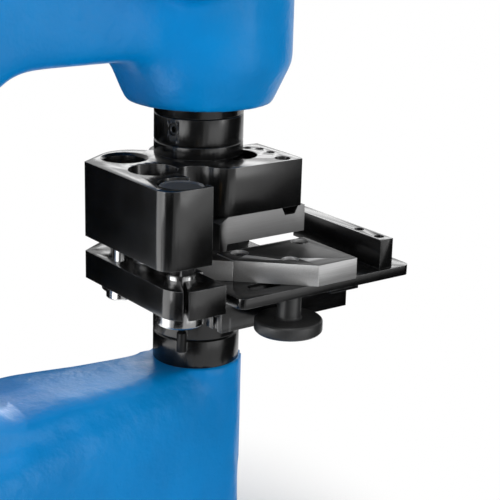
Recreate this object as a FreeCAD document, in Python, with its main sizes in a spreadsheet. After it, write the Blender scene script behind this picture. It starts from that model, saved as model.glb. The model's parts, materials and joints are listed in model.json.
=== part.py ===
"""Corner notcher: a punch and die set in the throat of a lever press. Millimetres.

The frame's +Z is up, +X is the open side of the throat where the operator stands, and the origin is on
the bench under the axis of the ram. Every driving size is a cell of the sheet, written once.
"""

import FreeCAD
import Part
import Sketcher
import math
import os

Vector = FreeCAD.Vector

# Driving sizes, each a named cell of the sheet

SIZES = {
    # Press frame
    "ram_dia": 45.0,
    "ram_clearance": 0.05,
    "boss_top": 130.0,
    "boss_dia": 48.0,
    "throat_depth": 128.0,
    "arm_rise": 24.5,
    "web_wide": 52.0,
    "column_thick": 98.0,
    "head_dia": 92.0,
    "nose_dia": 73.0,
    "nose_cone_tall": 20.5,
    "head_tall": 136.5,
    "head_crown": 8.0,
    "arm_crown_drop": 12.0,
    "column_top_drop": 50.0,
    "throat_low_round": 34.0,
    "throat_high_round": 28.0,
    "column_round": 62.0,
    "web_round": 8.0,
    "body_drop": 9.0,
    "deck_half_front": 20.0,
    "deck_half_wide": 32.6,
    "deck_wide_at": 110.0,
    "body_front": 12.0,
    "body_fall": 12.5,
    "body_half_front": 20.0,
    "body_half_rear": 58.0,
    "body_foot_half_front": 36.0,
    "body_foot_half_rear": 70.0,
    "body_bevel": 14.0,
    "shoulder_rise": 58.0,
    "foot_thick": 14.0,
    "foot_half_wide": 80.0,
    "foot_front": 52.0,
    "foot_rear": 252.0,
    "foot_round": 16.0,
    "bench_hole_dia": 11.0,
    "bench_hole_inset": 18.0,
    "bench_spot_dia": 24.0,
    "bench_spot_deep": 1.5,
    # Lever drive
    "gear_module": 2.5,
    "gear_teeth": 12.0,
    "gear_pressure_angle": 25.0,
    "gear_addendum": 2.3,
    "gear_dedendum": 2.9,
    "gear_backlash": 0.3,
    "gear_wide": 24.0,
    "gear_height_over_nose": 84.5,
    "rack_tip_from_axis": 17.0,
    "rack_teeth": 8.0,
    "shaft_dia": 20.0,
    "bush_dia": 36.5,
    "bush_clearance": 0.05,
    "cheek_dia": 58.0,
    "cheek_half": 47.0,
    "bush_to_ram": 1.5,
    "bush_flange_dia": 46.0,
    "bush_flange_thick": 3.0,
    "hub_dia": 42.0,
    "hub_wide": 32.0,
    "hub_gap": 0.3,
    "lever_dia": 18.0,
    "lever_above": 300.0,
    "lever_tilt": 20.0,
    "grip_dia": 30.0,
    "grip_long": 104.0,
    "collar_dia": 34.0,
    "collar_wide": 12.0,
    "set_screw_dia": 8.0,
    # Ram
    "ram_above_head": 30.0,
    "ram_keyway_wide": 8.0,
    "ram_keyway_deep": 4.0,
    "ram_neck_dia": 32.0,
    "ram_neck_tall": 16.0,
    "stop_collar_dia": 64.0,
    "stop_collar_tall": 14.0,
    "stop_collar_rise": 6.8,
    "key_screw_rise": 36.0,
    "socket_tall": 14.0,
    "shank_flange_tall": 6.5,
    "shank_stud_dia": 20.0,
    "shank_stud_tall": 22.0,
    "shank_spigot_dia": 12.0,
    "shank_spigot_deep": 16.0,
    # Tool
    "insert_tall": 15.0,
    "insert_shank_dia": 30.0,
    "pin_dia": 5.0,
    "pin_down": 6.0,
    "pin_up": 4.0,
    "insert_shank_tall": 54.0,
    "spigot_tall": 35.0,
    "plate_thick": 14.0,
    "open_gap": 7.5,
    "holder_tall": 37.5,
    "nose_gap": 26.5,
    "left_face": 60.7,
    "front_face": 63.9,
    "punch_face": 40.1,
    "punch_side": 14.1,
    "right_face": 36.0,
    "back_step": 1.0,
    "back_left": 8.5,
    "lobe_x": 36.0,
    "lobe_y": 4.0,
    "lobe_radius": 17.0,
    "ram_lobe_radius": 25.0,
    "relief_left": 34.8,
    "relief_end": 25.0,
    "holder_corner_round": 8.0,
    "holder_side_round": 10.0,
    "pillar_dia": 14.0,
    "pillar_clearance": 0.03,
    "bush_wall": 3.6,
    "front_pillar_x": 44.0,
    "front_pillar_y": 51.5,
    "rear_pillar_x": 40.0,
    "rear_pillar_y": 5.5,
    "pillar_top_drop": 13.0,
    "pillar_flange_dia": 23.0,
    "pillar_flange_tall": 8.5,
    "guide_bush_tall": 30.0,
    "guide_mouth_step": 0.9,
    "spring_x": 41.0,
    "spring_y": 22.3,
    "spring_bore_dia": 24.0,
    "spring_plug_tall": 6.0,
    "spring_plug_drop": 11.0,
    "spring_dia": 18.6,
    "spring_wire": 3.0,
    "spring_turns": 6.0,
    "spring_seat_deep": 4.0,
    "punch_bore_x": 10.5,
    "punch_bore_y": 15.7,
    "punch_bore_dia": 24.0,
    "punch_bore_deep": 14.0,
    "blade_tall": 13.5,
    "blade_thick": 9.5,
    "blade_over": 1.8,
    "heel_drop": 3.5,
    "heel_long": 4.0,
    "blade_notch_wide": 10.0,
    "blade_notch_x": 28.5,
    "foot_x": 33.0,
    "foot_front_face": 73.0,
    "plate_corner_round": 12.0,
    "plate_front": 50.5,
    "plate_right": 38.0,
    "knife_thick": 10.5,
    "knife_seat": 7.5,
    "knife_gap": 0.15,
    "knife_left_side": 30.6,
    "knife_joint_x": 15.6,
    "knife_nose_x": 14.2,
    "knife_nose_y": 82.0,
    "knife_step": 0.5,
    "knife_room": 4.5,
    "side_knife_end": 6.0,
    "slug_end": 6.3,
    "slug_floor": 4.0,
    "slit_wide": 2.4,
    "rail_thick": 5.0,
    "rail_left": 28.5,
    "rail_right": 76.0,
    "rail_front": 79.0,
    "rail_rear_gap": 0.3,
    "rail_slot_wide": 8.6,
    "rail_travel_in": 4.0,
    "rail_travel_out": 20.0,
    "fence_x": 57.0,
    "fence_thick": 8.0,
    "fence_tall": 15.0,
    "fence_rear": 6.0,
    "fence_head": 2.8,
    "bar_front": 49.3,
    "bar_rear": 36.0,
    "bar_drop": 20.0,
    "bar_left": 18.5,
    "bar_right": 60.0,
    "shelf_gap": 0.1,
    "knob_x": 9.0,
    "knob_y": 66.5,
    "knob_dia": 33.5,
    "knob_thick": 7.0,
    "knob_shank_dia": 12.0,
    "knob_shank_tall": 12.8,
    "knob_stud_dia": 7.9,
    "washer_dia": 16.0,
    "washer_thick": 1.2,
    "shoulder_x": 54.4,
    "shoulder_y": 13.5,
    "shoulder_dia": 6.5,
    "shoulder_head_dia": 13.0,
    "shoulder_head_tall": 5.0,
}


class Size:
    """A number with the sheet formula that makes it, so that it can drive a property."""

    def __init__(self, value, text):
        self.value = float(value)
        self.text = text

    def __add__(self, other):
        return joined(self, "+", other)

    def __radd__(self, other):
        return joined(other, "+", self)

    def __sub__(self, other):
        return joined(self, "-", other)

    def __rsub__(self, other):
        return joined(other, "-", self)

    def __mul__(self, other):
        return joined(self, "*", other)

    def __rmul__(self, other):
        return joined(other, "*", self)

    def __truediv__(self, other):
        return joined(self, "/", other)

    def __neg__(self):
        return joined(0, "-", self)


def number(size):
    """The plain number of a Size or of a number."""
    return size.value if isinstance(size, Size) else float(size)


def joined(a, sign, b):
    """Two sizes joined by one of the four operations, as a number and as a formula."""
    x = number(a)
    y = number(b)
    result = {"+": x + y, "-": x - y, "*": x * y, "/": x / y if y else 0.0}[sign]
    left = a.text if isinstance(a, Size) else repr(float(a))
    right = b.text if isinstance(b, Size) else repr(float(b))
    return Size(result, f"({left} {sign} {right})")


def turned(size, name):
    """The sine, cosine or tangent of a size in degrees."""
    function = {"sin": math.sin, "cos": math.cos, "tan": math.tan}[name]
    return Size(function(math.radians(number(size))), f"{name}({size.text} * 1 deg)")


def bind(item, path, size):
    """Sets a property to a number, or ties it to the sheet when it is a Size."""
    if isinstance(size, Size):
        item.setExpression(path, size.text)
    else:
        item.setExpression(path, repr(float(size)))


doc = FreeCAD.newDocument("corner_notcher")
sheet = doc.addObject("Spreadsheet::Sheet", "Sheet")
sheet.Label = "Sheet"
dims = {}
for row, (name, value) in enumerate(SIZES.items(), start=1):
    sheet.set(f"A{row}", name)
    sheet.set(f"B{row}", str(value))
    sheet.setAlias(f"B{row}", name)
    dims[name] = Size(value, f"Sheet.{name}")
doc.recompute()


class Place:
    """The sizes as attributes, and the heights and places worked out from them."""


at = Place()
for name, size in dims.items():
    setattr(at, name, size)

at.insert_top = at.boss_top + at.insert_tall
at.plate_bottom = at.insert_top + at.spigot_tall
at.plate_top = at.plate_bottom + at.plate_thick
at.seat_top = at.plate_bottom + at.knife_seat
at.holder_bottom = at.plate_top + at.open_gap
at.holder_top = at.holder_bottom + at.holder_tall
at.flange_top = at.holder_top + at.shank_flange_tall
at.socket_top = at.flange_top + at.socket_tall
at.nose_bottom = at.holder_top + at.nose_gap
at.arm_under = at.nose_bottom + at.arm_rise
at.head_top = at.nose_bottom + at.head_tall
at.ram_top = at.head_top + at.ram_above_head
at.gear_z = at.nose_bottom + at.gear_height_over_nose
at.pitch_radius = at.gear_module * at.gear_teeth / 2
at.gear_x = -(at.rack_tip_from_axis - at.gear_addendum + at.pitch_radius)
at.ram_radius = at.ram_dia / 2
at.guide_bush_dia = at.pillar_dia + 2 * at.bush_wall
at.guide_mouth_dia = at.guide_bush_dia + 2 * at.guide_mouth_step
at.knife_edge = at.punch_face + at.knife_gap
at.knife_side = at.punch_side + at.knife_gap
at.column_back = at.throat_depth + at.column_thick
at.rail_top = at.seat_top
at.rail_bottom = at.rail_top - at.rail_thick
at.rail_rear = at.plate_front + at.rail_rear_gap
at.blade_screw_y = -at.punch_face + at.blade_thick - 4.0
at.side_blade_end = at.slug_end - 0.3


# Helpers for bodies, sketches and features


def hold(sketch, shape, point, x, y):
    """Ties a point of a sketch to its origin by its two distances."""
    for kind, axis, size in (("DistanceX", -2, x), ("DistanceY", -1, y)):
        if not isinstance(size, Size) and float(size) == 0.0:
            sketch.addConstraint(Sketcher.Constraint("PointOnObject", shape, point, axis))
            continue
        index = sketch.addConstraint(Sketcher.Constraint(kind, -1, 1, shape, point, number(size)))
        if isinstance(size, Size):
            sketch.setExpression(f"Constraints[{index}]", size.text)


class Piece:
    """One sub-part: a body with its own label and placement, built up feature by feature."""

    def __init__(self, label, x=0.0, y=0.0, z=0.0, turn=None):
        self.label = label
        self.body = doc.addObject("PartDesign::Body", label)
        self.body.Label = label
        if turn:
            axis, angle = turn
            self.body.Placement = FreeCAD.Placement(Vector(0, 0, 0), FreeCAD.Rotation(axis, number(angle)))
        for name, size in (("x", x), ("y", y), ("z", z)):
            bind(self.body, f"Placement.Base.{name}", size)
        self.count = 0
        pieces.append(self.body)

    def origin(self, role):
        return next(item for item in self.body.Origin.OriginFeatures if item.Role == role)

    def name(self, kind):
        self.count += 1
        return f"{self.label}_{kind}{self.count}"

    def sketch(self, plane="XY", lift=0.0):
        """An empty sketch on one of the body's own planes, moved along the plane's normal."""
        item = self.body.newObject("Sketcher::SketchObject", self.name("sketch"))
        item.AttachmentSupport = [(self.origin(f"{plane}_Plane"), "")]
        item.MapMode = "FlatFace"
        bind(item, "AttachmentOffset.Base.z", lift)
        return item

    def outline(self, corners, plane="XY", lift=0.0, sketch=None):
        """A closed outline of straight edges."""
        item = sketch or self.sketch(plane, lift)
        first = item.GeometryCount
        points = [Vector(number(x), number(y), 0) for x, y in corners]
        total = len(points)
        for index in range(total):
            item.addGeometry(Part.LineSegment(points[index], points[(index + 1) % total]), False)
        for index in range(total):
            following = first + (index + 1) % total
            item.addConstraint(Sketcher.Constraint("Coincident", first + index, 2, following, 1))
        for index, (x, y) in enumerate(corners):
            hold(item, first + index, 1, x, y)
        return item

    def rectangle(self, x_low, x_high, y_low, y_high, plane="XY", lift=0.0, sketch=None):
        corners = [(x_low, y_low), (x_high, y_low), (x_high, y_high), (x_low, y_high)]
        return self.outline(corners, plane, lift, sketch)

    def circles(self, places, diameter, plane="XY", lift=0.0, sketch=None):
        """Circles of one diameter at several places."""
        item = sketch or self.sketch(plane, lift)
        for x, y in places:
            centre = Vector(number(x), number(y), 0)
            index = item.addGeometry(Part.Circle(centre, Vector(0, 0, 1), number(diameter) / 2), False)
            size = item.addConstraint(Sketcher.Constraint("Diameter", index, number(diameter)))
            if isinstance(diameter, Size):
                item.setExpression(f"Constraints[{size}]", diameter.text)
            hold(item, index, 3, x, y)
        return item

    def slot(self, x_low, x_high, y, wide, plane="XY", lift=0.0):
        """A slot along x between two end centres."""
        item = self.sketch(plane, lift)
        radius = number(wide) / 2
        low = Vector(number(x_low), number(y), 0)
        high = Vector(number(x_high), number(y), 0)
        up = Vector(0, radius, 0)
        axis = Vector(0, 0, 1)
        quarter = math.pi / 2
        item.addGeometry(Part.LineSegment(low - up, high - up), False)
        item.addGeometry(Part.ArcOfCircle(Part.Circle(high, axis, radius), -quarter, quarter), False)
        item.addGeometry(Part.LineSegment(high + up, low + up), False)
        item.addGeometry(Part.ArcOfCircle(Part.Circle(low, axis, radius), quarter, 3 * quarter), False)
        item.addConstraint(Sketcher.Constraint("Tangent", 0, 2, 1, 1))
        item.addConstraint(Sketcher.Constraint("Tangent", 1, 2, 2, 1))
        item.addConstraint(Sketcher.Constraint("Tangent", 2, 2, 3, 1))
        item.addConstraint(Sketcher.Constraint("Tangent", 3, 2, 0, 1))
        hold(item, 1, 3, x_high, y)
        hold(item, 3, 3, x_low, y)
        index = item.addConstraint(Sketcher.Constraint("Radius", 1, radius))
        bind(item, f"Constraints[{index}]", wide / 2)
        return item

    def feature(self, kind, sketch, length=None, both=False, back=False, through=False):
        item = self.body.newObject(f"PartDesign::{kind}", self.name(kind.lower()))
        item.Profile = sketch
        if through:
            item.Type = "ThroughAll"
        else:
            bind(item, "Length", length)
        item.Midplane = both
        item.Reversed = back
        sketch.Visibility = False
        return item

    def pad(self, sketch, length, both=False, back=False):
        return self.feature("Pad", sketch, length, both, back)

    def pocket(self, sketch, length=None, both=False, back=False):
        return self.feature("Pocket", sketch, length, both, back, through=length is None)

    def revolve(self, corners, cut=False, axis="Z_Axis", plane="XZ"):
        """A profile turned once round one of the body's axes, as added or cut material."""
        sketch = self.outline(corners, plane)
        kind = "Groove" if cut else "Revolution"
        item = self.body.newObject(f"PartDesign::{kind}", self.name(kind.lower()))
        item.Profile = sketch
        item.ReferenceAxis = (self.origin(axis), [""])
        item.Angle = 360
        sketch.Visibility = False
        return item

    def loft(self, first, *others):
        """A solid with straight sides through two or more sketches."""
        item = self.body.newObject("PartDesign::AdditiveLoft", self.name("loft"))
        item.Profile = first
        item.Sections = list(others)
        item.Ruled = True
        return item

    def dress(self, kind, test, size):
        """A fillet or chamfer on the edges of the body so far that pass a test."""
        doc.recompute()
        base = self.body.Tip
        chosen = [f"Edge{i}" for i, edge in enumerate(base.Shape.Edges, start=1) if test(edge)]
        if not chosen:
            raise ValueError(f"{self.label}: no edge for the {kind}")
        item = self.body.newObject(f"PartDesign::{kind}", self.name(kind.lower()))
        item.Base = (base, chosen)
        bind(item, "Radius" if kind == "Fillet" else "Size", size)
        return item

    def row(self, feature, axis, length, count):
        """A feature repeated along an axis."""
        item = self.body.newObject("PartDesign::LinearPattern", self.name("row"))
        item.Originals = [feature]
        item.Direction = (self.origin(axis), [""])
        bind(item, "Length", length)
        bind(item, "Occurrences", count)
        self.body.Tip = item
        return item


pieces = []


def near(a, b, slack=0.05):
    return abs(a - b) < slack


def upright_at(places, slack=0.3):
    """Edges along z that stand at one of the places in plan."""
    spots = [(number(x), number(y)) for x, y in places]

    def test(edge):
        box = edge.BoundBox
        straight = box.XLength < slack and box.YLength < slack and box.ZLength > 1
        return straight and any(near(box.Center.x, x, slack) and near(box.Center.y, y, slack) for x, y in spots)

    return test


def circle_at(z, diameter, slack=0.02):
    """Whole round edges of a diameter at a height."""

    def test(edge):
        round_edge = isinstance(edge.Curve, Part.Circle) and edge.isClosed()
        if not round_edge:
            return False
        return near(edge.Curve.Radius, number(diameter) / 2, slack) and near(edge.Curve.Center.z, number(z), slack)

    return test


def hexagon(piece, places, across, lift):
    """A sketch of hexagons for socket heads, each inside a circle."""
    sketch = piece.sketch("XY", lift)
    radius = across / 2 / math.cos(math.pi / 6)
    for x, y in places:
        corners = []
        for step in range(6):
            angle = math.pi / 3 * step
            corners.append((x + radius * math.cos(angle), y + radius * math.sin(angle)))
        piece.outline(corners, sketch=sketch)
    return sketch


def cap_screws(label, places, z, thread, shank, turn=None, head_tall=None, head_dia=None, base=(0.0, 0.0)):
    """Socket head cap screws in one node: heads stand on z, shanks go down from it."""
    piece = Piece(label, base[0], base[1], z, turn)
    head = head_dia or 1.6 * thread
    tall = head_tall or 1.0 * thread
    piece.pad(piece.circles(places, head), tall)
    piece.pad(piece.circles(places, thread), shank, back=True)
    piece.pocket(hexagon(piece, places, 0.8 * thread, tall), 0.55 * thread)
    return piece


# Press frame


def frame_casting():
    """C frame with a round head and boss, on a flared body and a bench foot."""
    piece = Piece("frame_casting")
    back = -at.column_back
    throat = -at.throat_depth
    head_top = at.head_top - at.arm_crown_drop
    column_top = head_top - at.column_top_drop
    web = [(back, 0.0), (0.0, 0.0), (0.0, at.boss_top), (throat, at.boss_top), (throat, at.arm_under)]
    web += [(0.0, at.arm_under), (0.0, head_top), (throat / 2, head_top), (back, column_top)]
    piece.pad(piece.outline(web, "XZ"), at.web_wide, both=True)

    def across_at(spots):
        def test(edge):
            box = edge.BoundBox
            if box.YLength < 10 or box.XLength > 0.1 or box.ZLength > 0.1:
                return False
            return any(near(box.Center.x, number(x)) and near(box.Center.z, number(z)) for x, z in spots)

        return test

    piece.dress("Fillet", across_at([(throat, at.boss_top)]), at.throat_low_round)
    piece.dress("Fillet", across_at([(throat, at.arm_under)]), at.throat_high_round)
    piece.dress("Fillet", across_at([(back, column_top), (throat / 2, head_top)]), at.column_round)

    def rim(edge):
        box = edge.BoundBox
        flat = box.YLength < 0.01
        on_end = box.XLength < 0.01 and near(box.Center.x, 0)
        on_floor = box.ZLength < 0.01 and near(box.Center.z, 0)
        return flat and not on_end and not on_floor

    piece.dress("Fillet", rim, at.web_round)
    # Deck of the lower arm, narrow at the boss and widest under the throat
    front = -12.0
    widest = -at.deck_wide_at
    trim = [(1.0, 31.0), (1.0, at.deck_half_front - 4.0), (-56.0, at.web_wide / 2 - 2.0), (-56.0, 31.0)]
    piece.pocket(piece.outline(trim, lift=at.boss_top + 1), 45.0)
    trim = [(x, -y) for x, y in trim]
    piece.pocket(piece.outline(trim, lift=at.boss_top + 1), 45.0)
    stations = [(front, at.deck_half_front), (widest, at.deck_half_wide), (back + 20, at.web_wide / 2 + 0.6)]
    piece.loft(*[piece.outline(deck_section(half), "YZ", lift=x) for x, half in stations])
    # Flared body under it, its top falling to the back
    top = at.boss_top - at.body_drop + 1.0
    rear = top - at.body_fall
    bevel = at.body_bevel
    stations = [(at.body_front, at.body_foot_half_front, at.body_half_front, top)]
    stations += [(back + bevel, at.body_foot_half_rear, at.body_half_rear, rear)]
    stations += [(back, at.body_foot_half_rear - bevel, at.body_half_rear - bevel, rear - 2.0)]
    flare = []
    for x, low, high, height in stations:
        flare.append(piece.outline([(-low, 0.0), (low, 0.0), (high, height), (-high, height)], "YZ", lift=x))
    piece.loft(*flare)
    # Shoulder where the flare runs into the column
    low = [(throat + 10, -30.0), (throat + 10, 30.0)]
    low += [(back + 9, 30.0), (back + 9, -30.0)]
    high = [(throat - 20, -25.5), (throat - 20, 25.5), (back + 9, 25.5), (back + 9, -25.5)]
    foot_of = rear - 4
    piece.loft(piece.outline(low, lift=foot_of), piece.outline(high, lift=foot_of + at.shoulder_rise))
    # Foot with its bench holes
    foot = piece.rectangle(-at.foot_rear, at.foot_front, -at.foot_half_wide, at.foot_half_wide)
    piece.pad(foot, at.foot_thick)
    corners = [(x, y) for x in (-at.foot_rear, at.foot_front) for y in (-at.foot_half_wide, at.foot_half_wide)]
    piece.dress("Fillet", upright_at(corners), at.foot_round)
    # Head, nose cone and lower boss
    head = at.head_dia / 2
    nose = at.nose_dia / 2
    cone_top = at.nose_bottom + at.nose_cone_tall
    crown = at.head_top - at.head_crown
    profile = [(0.0, at.nose_bottom), (nose, at.nose_bottom), (head, cone_top), (head, crown)]
    profile += [(head - at.head_crown, at.head_top), (0.0, at.head_top)]
    piece.revolve(profile)
    piece.pad(piece.circles([(0.0, 0.0)], at.boss_dia), at.boss_top)
    # Cheeks that carry the lever shaft
    piece.pad(piece.circles([(at.gear_x, at.gear_z)], at.cheek_dia, "XZ"), 2 * at.cheek_half, both=True)
    # Bores
    ram_hole = piece.circles([(0.0, 0.0)], at.ram_dia + 2 * at.ram_clearance, lift=at.nose_bottom - 1)
    piece.pocket(ram_hole, at.head_tall + 2, back=True)
    piece.pocket(piece.circles([(at.gear_x, at.gear_z)], at.bush_dia, "XZ"), both=True)
    insert_hole = piece.circles([(0.0, 0.0)], at.insert_shank_dia + 0.1, lift=at.boss_top)
    piece.pocket(insert_hole, at.insert_shank_tall + 1)
    # Tapped holes for the key screw, the insert screw and the oiler
    key_hole = piece.circles([(0.0, at.nose_bottom + at.key_screw_rise)], 10.0, "YZ", lift=0.0)
    piece.pocket(key_hole, at.head_dia, back=True)
    insert_screw = piece.circles([(0.0, at.boss_top - 18)], at.set_screw_dia, "YZ", lift=0.0)
    piece.pocket(insert_screw, at.boss_dia, back=True)
    # Bench holes with spot faces
    spots = bench_places()
    piece.pocket(piece.circles(spots, at.bench_hole_dia, lift=at.foot_thick), at.foot_thick + 1)
    piece.pocket(piece.circles(spots, at.bench_spot_dia, lift=at.foot_thick + 40), 40 + at.bench_spot_deep)
    return piece


def deck_section(half):
    """Cross section of the lower arm's deck, its top corners eased."""
    top = at.boss_top
    right = [(half, top - 65), (half, top - 8), (half - 2.3, top - 2.4), (half - 8, top)]
    return right + [(-y, z) for y, z in reversed(right)]


def bench_places():
    """Places of the four bench holes."""
    rear = -at.foot_rear + at.bench_hole_inset
    front = at.foot_front - at.bench_hole_inset
    side = at.foot_half_wide - at.bench_hole_inset
    return [(x, y) for x in (rear, front) for y in (-side, side)]


def insert_and_spigot():
    """Steel insert in the lower boss, and the round spigot of the tool that stands on it."""
    insert = Piece("lower_insert", z=at.boss_top)
    radius = at.ram_dia / 2
    shank = at.insert_shank_dia / 2
    chamfer = 0.8
    profile = [(0.0, -at.insert_shank_tall), (shank, -at.insert_shank_tall), (shank, 0.0), (radius, 0.0)]
    profile += [(radius, at.insert_tall - chamfer), (radius - chamfer, at.insert_tall), (0.0, at.insert_tall)]
    insert.revolve(profile)
    # Notches in both rims that take the locating pin
    angle = math.radians(217)
    notch = [(radius * math.cos(angle), radius * math.sin(angle))]
    insert.pocket(insert.circles(notch, at.pin_dia, lift=at.insert_tall), at.pin_down)
    pin = Piece("locating_pin", z=at.insert_top - at.pin_down)
    pin.pad(pin.circles(notch, at.pin_dia), at.pin_down + at.pin_up)
    spigot = Piece("tool_spigot", z=at.insert_top)
    spigot.pad(spigot.circles([(0.0, 0.0)], at.ram_dia), at.spigot_tall)
    spigot.dress("Chamfer", circle_at(0.0, at.ram_dia), 0.5)
    spigot.pocket(spigot.circles(notch, at.pin_dia), at.pin_up, back=True)
    holes = spigot_places()
    spigot.pocket(spigot.circles(holes, 5.4, lift=at.spigot_tall))
    spigot.pocket(spigot.circles(holes, 8.8), 20.0, back=True)
    flip = (Vector(1, 0, 0), 180)
    mirrored = [(x, -y) for x, y in holes]
    cap_screws("spigot_screws", mirrored, at.insert_top + 20, 5.0, at.spigot_tall - 20 + 6.5, flip, head_dia=8.4)
    screw = Piece("insert_set_screw", z=at.boss_top - 18, turn=(Vector(0, 1, 0), 90))
    screw.pad(screw.circles([(0.0, 0.0)], at.set_screw_dia, lift=shank), 8.0)
    screw.pocket(hexagon(screw, [(0.0, 0.0)], 4.0, shank + 8.0), 4.0)


def spigot_places():
    """Three screws on a circle in the spigot."""
    return [(17.3 * math.cos(a), 17.3 * math.sin(a)) for a in (math.radians(d) for d in (55, 125, 193))]


# Lever drive


def pinion_outline(module, teeth, pressure, addendum, dedendum, backlash):
    """Closed wire of an involute pinion, each flank an arc through three involute points."""
    pitch = module * teeth / 2
    base = pitch * math.cos(pressure)
    outer = pitch + addendum
    root = pitch - dedendum
    half = math.pi / (2 * teeth) - backlash / 2 / pitch
    start = math.tan(pressure) - pressure

    def flank(radius):
        """Half angle of the tooth at a radius."""
        if radius <= base:
            return half + start
        slope = math.acos(base / radius)
        return half + start - (math.tan(slope) - slope)

    def point(radius, angle):
        return Vector(radius * math.cos(angle), radius * math.sin(angle), 0)

    edges = []
    low = max(base, root) + 0.01
    for tooth in range(int(teeth)):
        centre = 2 * math.pi * tooth / teeth
        following = 2 * math.pi * (tooth + 1) / teeth
        radii = (low, (low + outer) / 2, outer)
        rise = [point(r, centre - flank(r)) for r in radii]
        fall = [point(r, centre + flank(r)) for r in reversed(radii)]
        foot = point(root, centre - flank(low))
        heel = point(root, centre + flank(low))
        after = point(root, following - flank(low))
        middle = point(root, (centre + following) / 2)
        edges.append(Part.LineSegment(foot, rise[0]).toShape())
        edges.append(Part.Arc(*rise).toShape())
        edges.append(Part.Arc(rise[2], point(outer, centre), fall[0]).toShape())
        edges.append(Part.Arc(*fall).toShape())
        edges.append(Part.LineSegment(fall[2], heel).toShape())
        edges.append(Part.Arc(heel, middle, after).toShape())
    return Part.Wire(edges)


def pinion_shaft():
    """Lever shaft with the pinion cut in one piece with it, lying along y."""
    sizes = [at.gear_module, at.gear_teeth, at.gear_pressure_angle, at.gear_addendum, at.gear_dedendum]
    module, teeth, degrees, addendum, dedendum = [number(size) for size in sizes]
    backlash = number(at.gear_backlash)
    wire = pinion_outline(module, teeth, math.radians(degrees), addendum, dedendum, backlash)
    wide = number(at.gear_wide)
    gear = Part.Face(wire).extrude(Vector(0, 0, wide))
    gear.translate(Vector(0, 0, -wide / 2))
    near_end = number(at.cheek_half + at.hub_gap + at.bush_flange_thick + at.collar_wide)
    far_end = number(at.cheek_half + at.hub_gap + at.bush_flange_thick + at.hub_wide) + 1
    radius = number(at.shaft_dia) / 2
    rod = Part.makeCylinder(radius, near_end + far_end, Vector(0, 0, -near_end))
    key_flat = Part.makeBox(6, 4, number(at.hub_wide), Vector(-3, radius - 1.5, far_end - number(at.hub_wide) - 1))
    shape = gear.fuse(rod).cut(key_flat).removeSplitter()
    item = doc.addObject("Part::Feature", "pinion_shaft")
    item.Label = "pinion_shaft"
    item.Shape = shape
    # The gear's own axis is laid along -y, turned by half a tooth so that a gap faces the rack's tooth
    lay = FreeCAD.Rotation(Vector(1, 0, 0), 90)
    spin = FreeCAD.Rotation(Vector(0, 0, 1), 180 / teeth)
    item.Placement = FreeCAD.Placement(Vector(0, 0, 0), lay * spin)
    bind(item, "Placement.Base.x", at.gear_x)
    bind(item, "Placement.Base.z", at.gear_z)
    pieces.append(item)


def shaft_bushes():
    """Two flanged bronze bushes in the cheeks."""
    bush = Piece("shaft_bushes", at.gear_x, 0.0, at.gear_z, (Vector(1, 0, 0), 90))
    end = at.cheek_half
    outer = at.bush_dia / 2
    inner = at.shaft_dia / 2 + at.bush_clearance
    flange = at.bush_flange_dia / 2
    for side in (1, -1):
        start = at.ram_radius + at.bush_to_ram
        profile = [(inner, side * start), (outer, side * start), (outer, side * end)]
        profile += [(flange, side * end), (flange, side * (end + at.bush_flange_thick))]
        profile += [(inner, side * (end + at.bush_flange_thick))]
        bush.revolve(profile)


def lever_parts():
    """Hub, bar, grip and the collar that keeps the shaft in place."""
    side = at.cheek_half + at.bush_flange_thick + at.hub_gap
    hub = Piece("lever_hub", at.gear_x, side, at.gear_z, (Vector(0, 1, 0), at.lever_tilt))
    radius = at.hub_dia / 2
    sketch = hub.circles([(0.0, 0.0)], at.hub_dia, "XZ")
    hub.pad(sketch, at.hub_wide, back=True)
    middle = at.hub_wide / 2
    boss = hub.circles([(0.0, middle)], at.lever_dia + 10)
    hub.pad(boss, radius + 8)
    hub.pocket(hub.circles([(0.0, 0.0)], at.shaft_dia, "XZ"), at.hub_wide + 1)
    hub.pocket(hub.circles([(0.0, middle)], at.lever_dia, lift=at.shaft_dia / 2 + 1), 60.0, back=True)
    hub.dress("Chamfer", circle_rim_y(at.hub_dia), 1.5)
    bar = Piece("lever_bar", at.gear_x, side + middle, at.gear_z, (Vector(0, 1, 0), at.lever_tilt))
    bar.pad(bar.circles([(0.0, 0.0)], at.lever_dia, lift=at.shaft_dia / 2 + 1), at.lever_above)
    bar.dress("Chamfer", circle_at(at.shaft_dia / 2 + 1 + at.lever_above, at.lever_dia), 1.5)
    grip = Piece("lever_grip", at.gear_x, side + middle, at.gear_z, (Vector(0, 1, 0), at.lever_tilt))
    top = at.shaft_dia / 2 + 1 + at.lever_above + 6
    bottom = top - at.grip_long
    inner = at.lever_dia / 2
    wide = at.grip_dia / 2
    profile = [(inner, bottom), (wide - 2, bottom), (wide, bottom + 8), (wide - 2.5, bottom + 30)]
    profile += [(wide - 1.0, top - 30), (wide, top - 12), (wide - 5, top), (0.0, top), (0.0, top - 6), (inner, top - 6)]
    grip.revolve(profile)
    collar = Piece("shaft_collar", at.gear_x, -side + at.hub_gap, at.gear_z, (Vector(1, 0, 0), 90))
    collar.pad(collar.circles([(0.0, 0.0)], at.collar_dia), at.collar_wide)
    collar.pocket(collar.circles([(0.0, 0.0)], at.shaft_dia, lift=at.collar_wide))
    collar.pocket(collar.circles([(0.0, at.collar_wide / 2)], 5.0, "XZ"), at.collar_dia)
    collar.dress("Chamfer", circle_at(at.collar_wide, at.collar_dia), 1.0)


def circle_rim_y(diameter):
    """Whole round edges of a diameter in planes across y."""

    def test(edge):
        if not (isinstance(edge.Curve, Part.Circle) and edge.isClosed()):
            return False
        return near(edge.Curve.Radius, number(diameter) / 2) and abs(edge.Curve.Axis.y) > 0.99

    return test


# Ram and what it carries


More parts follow.
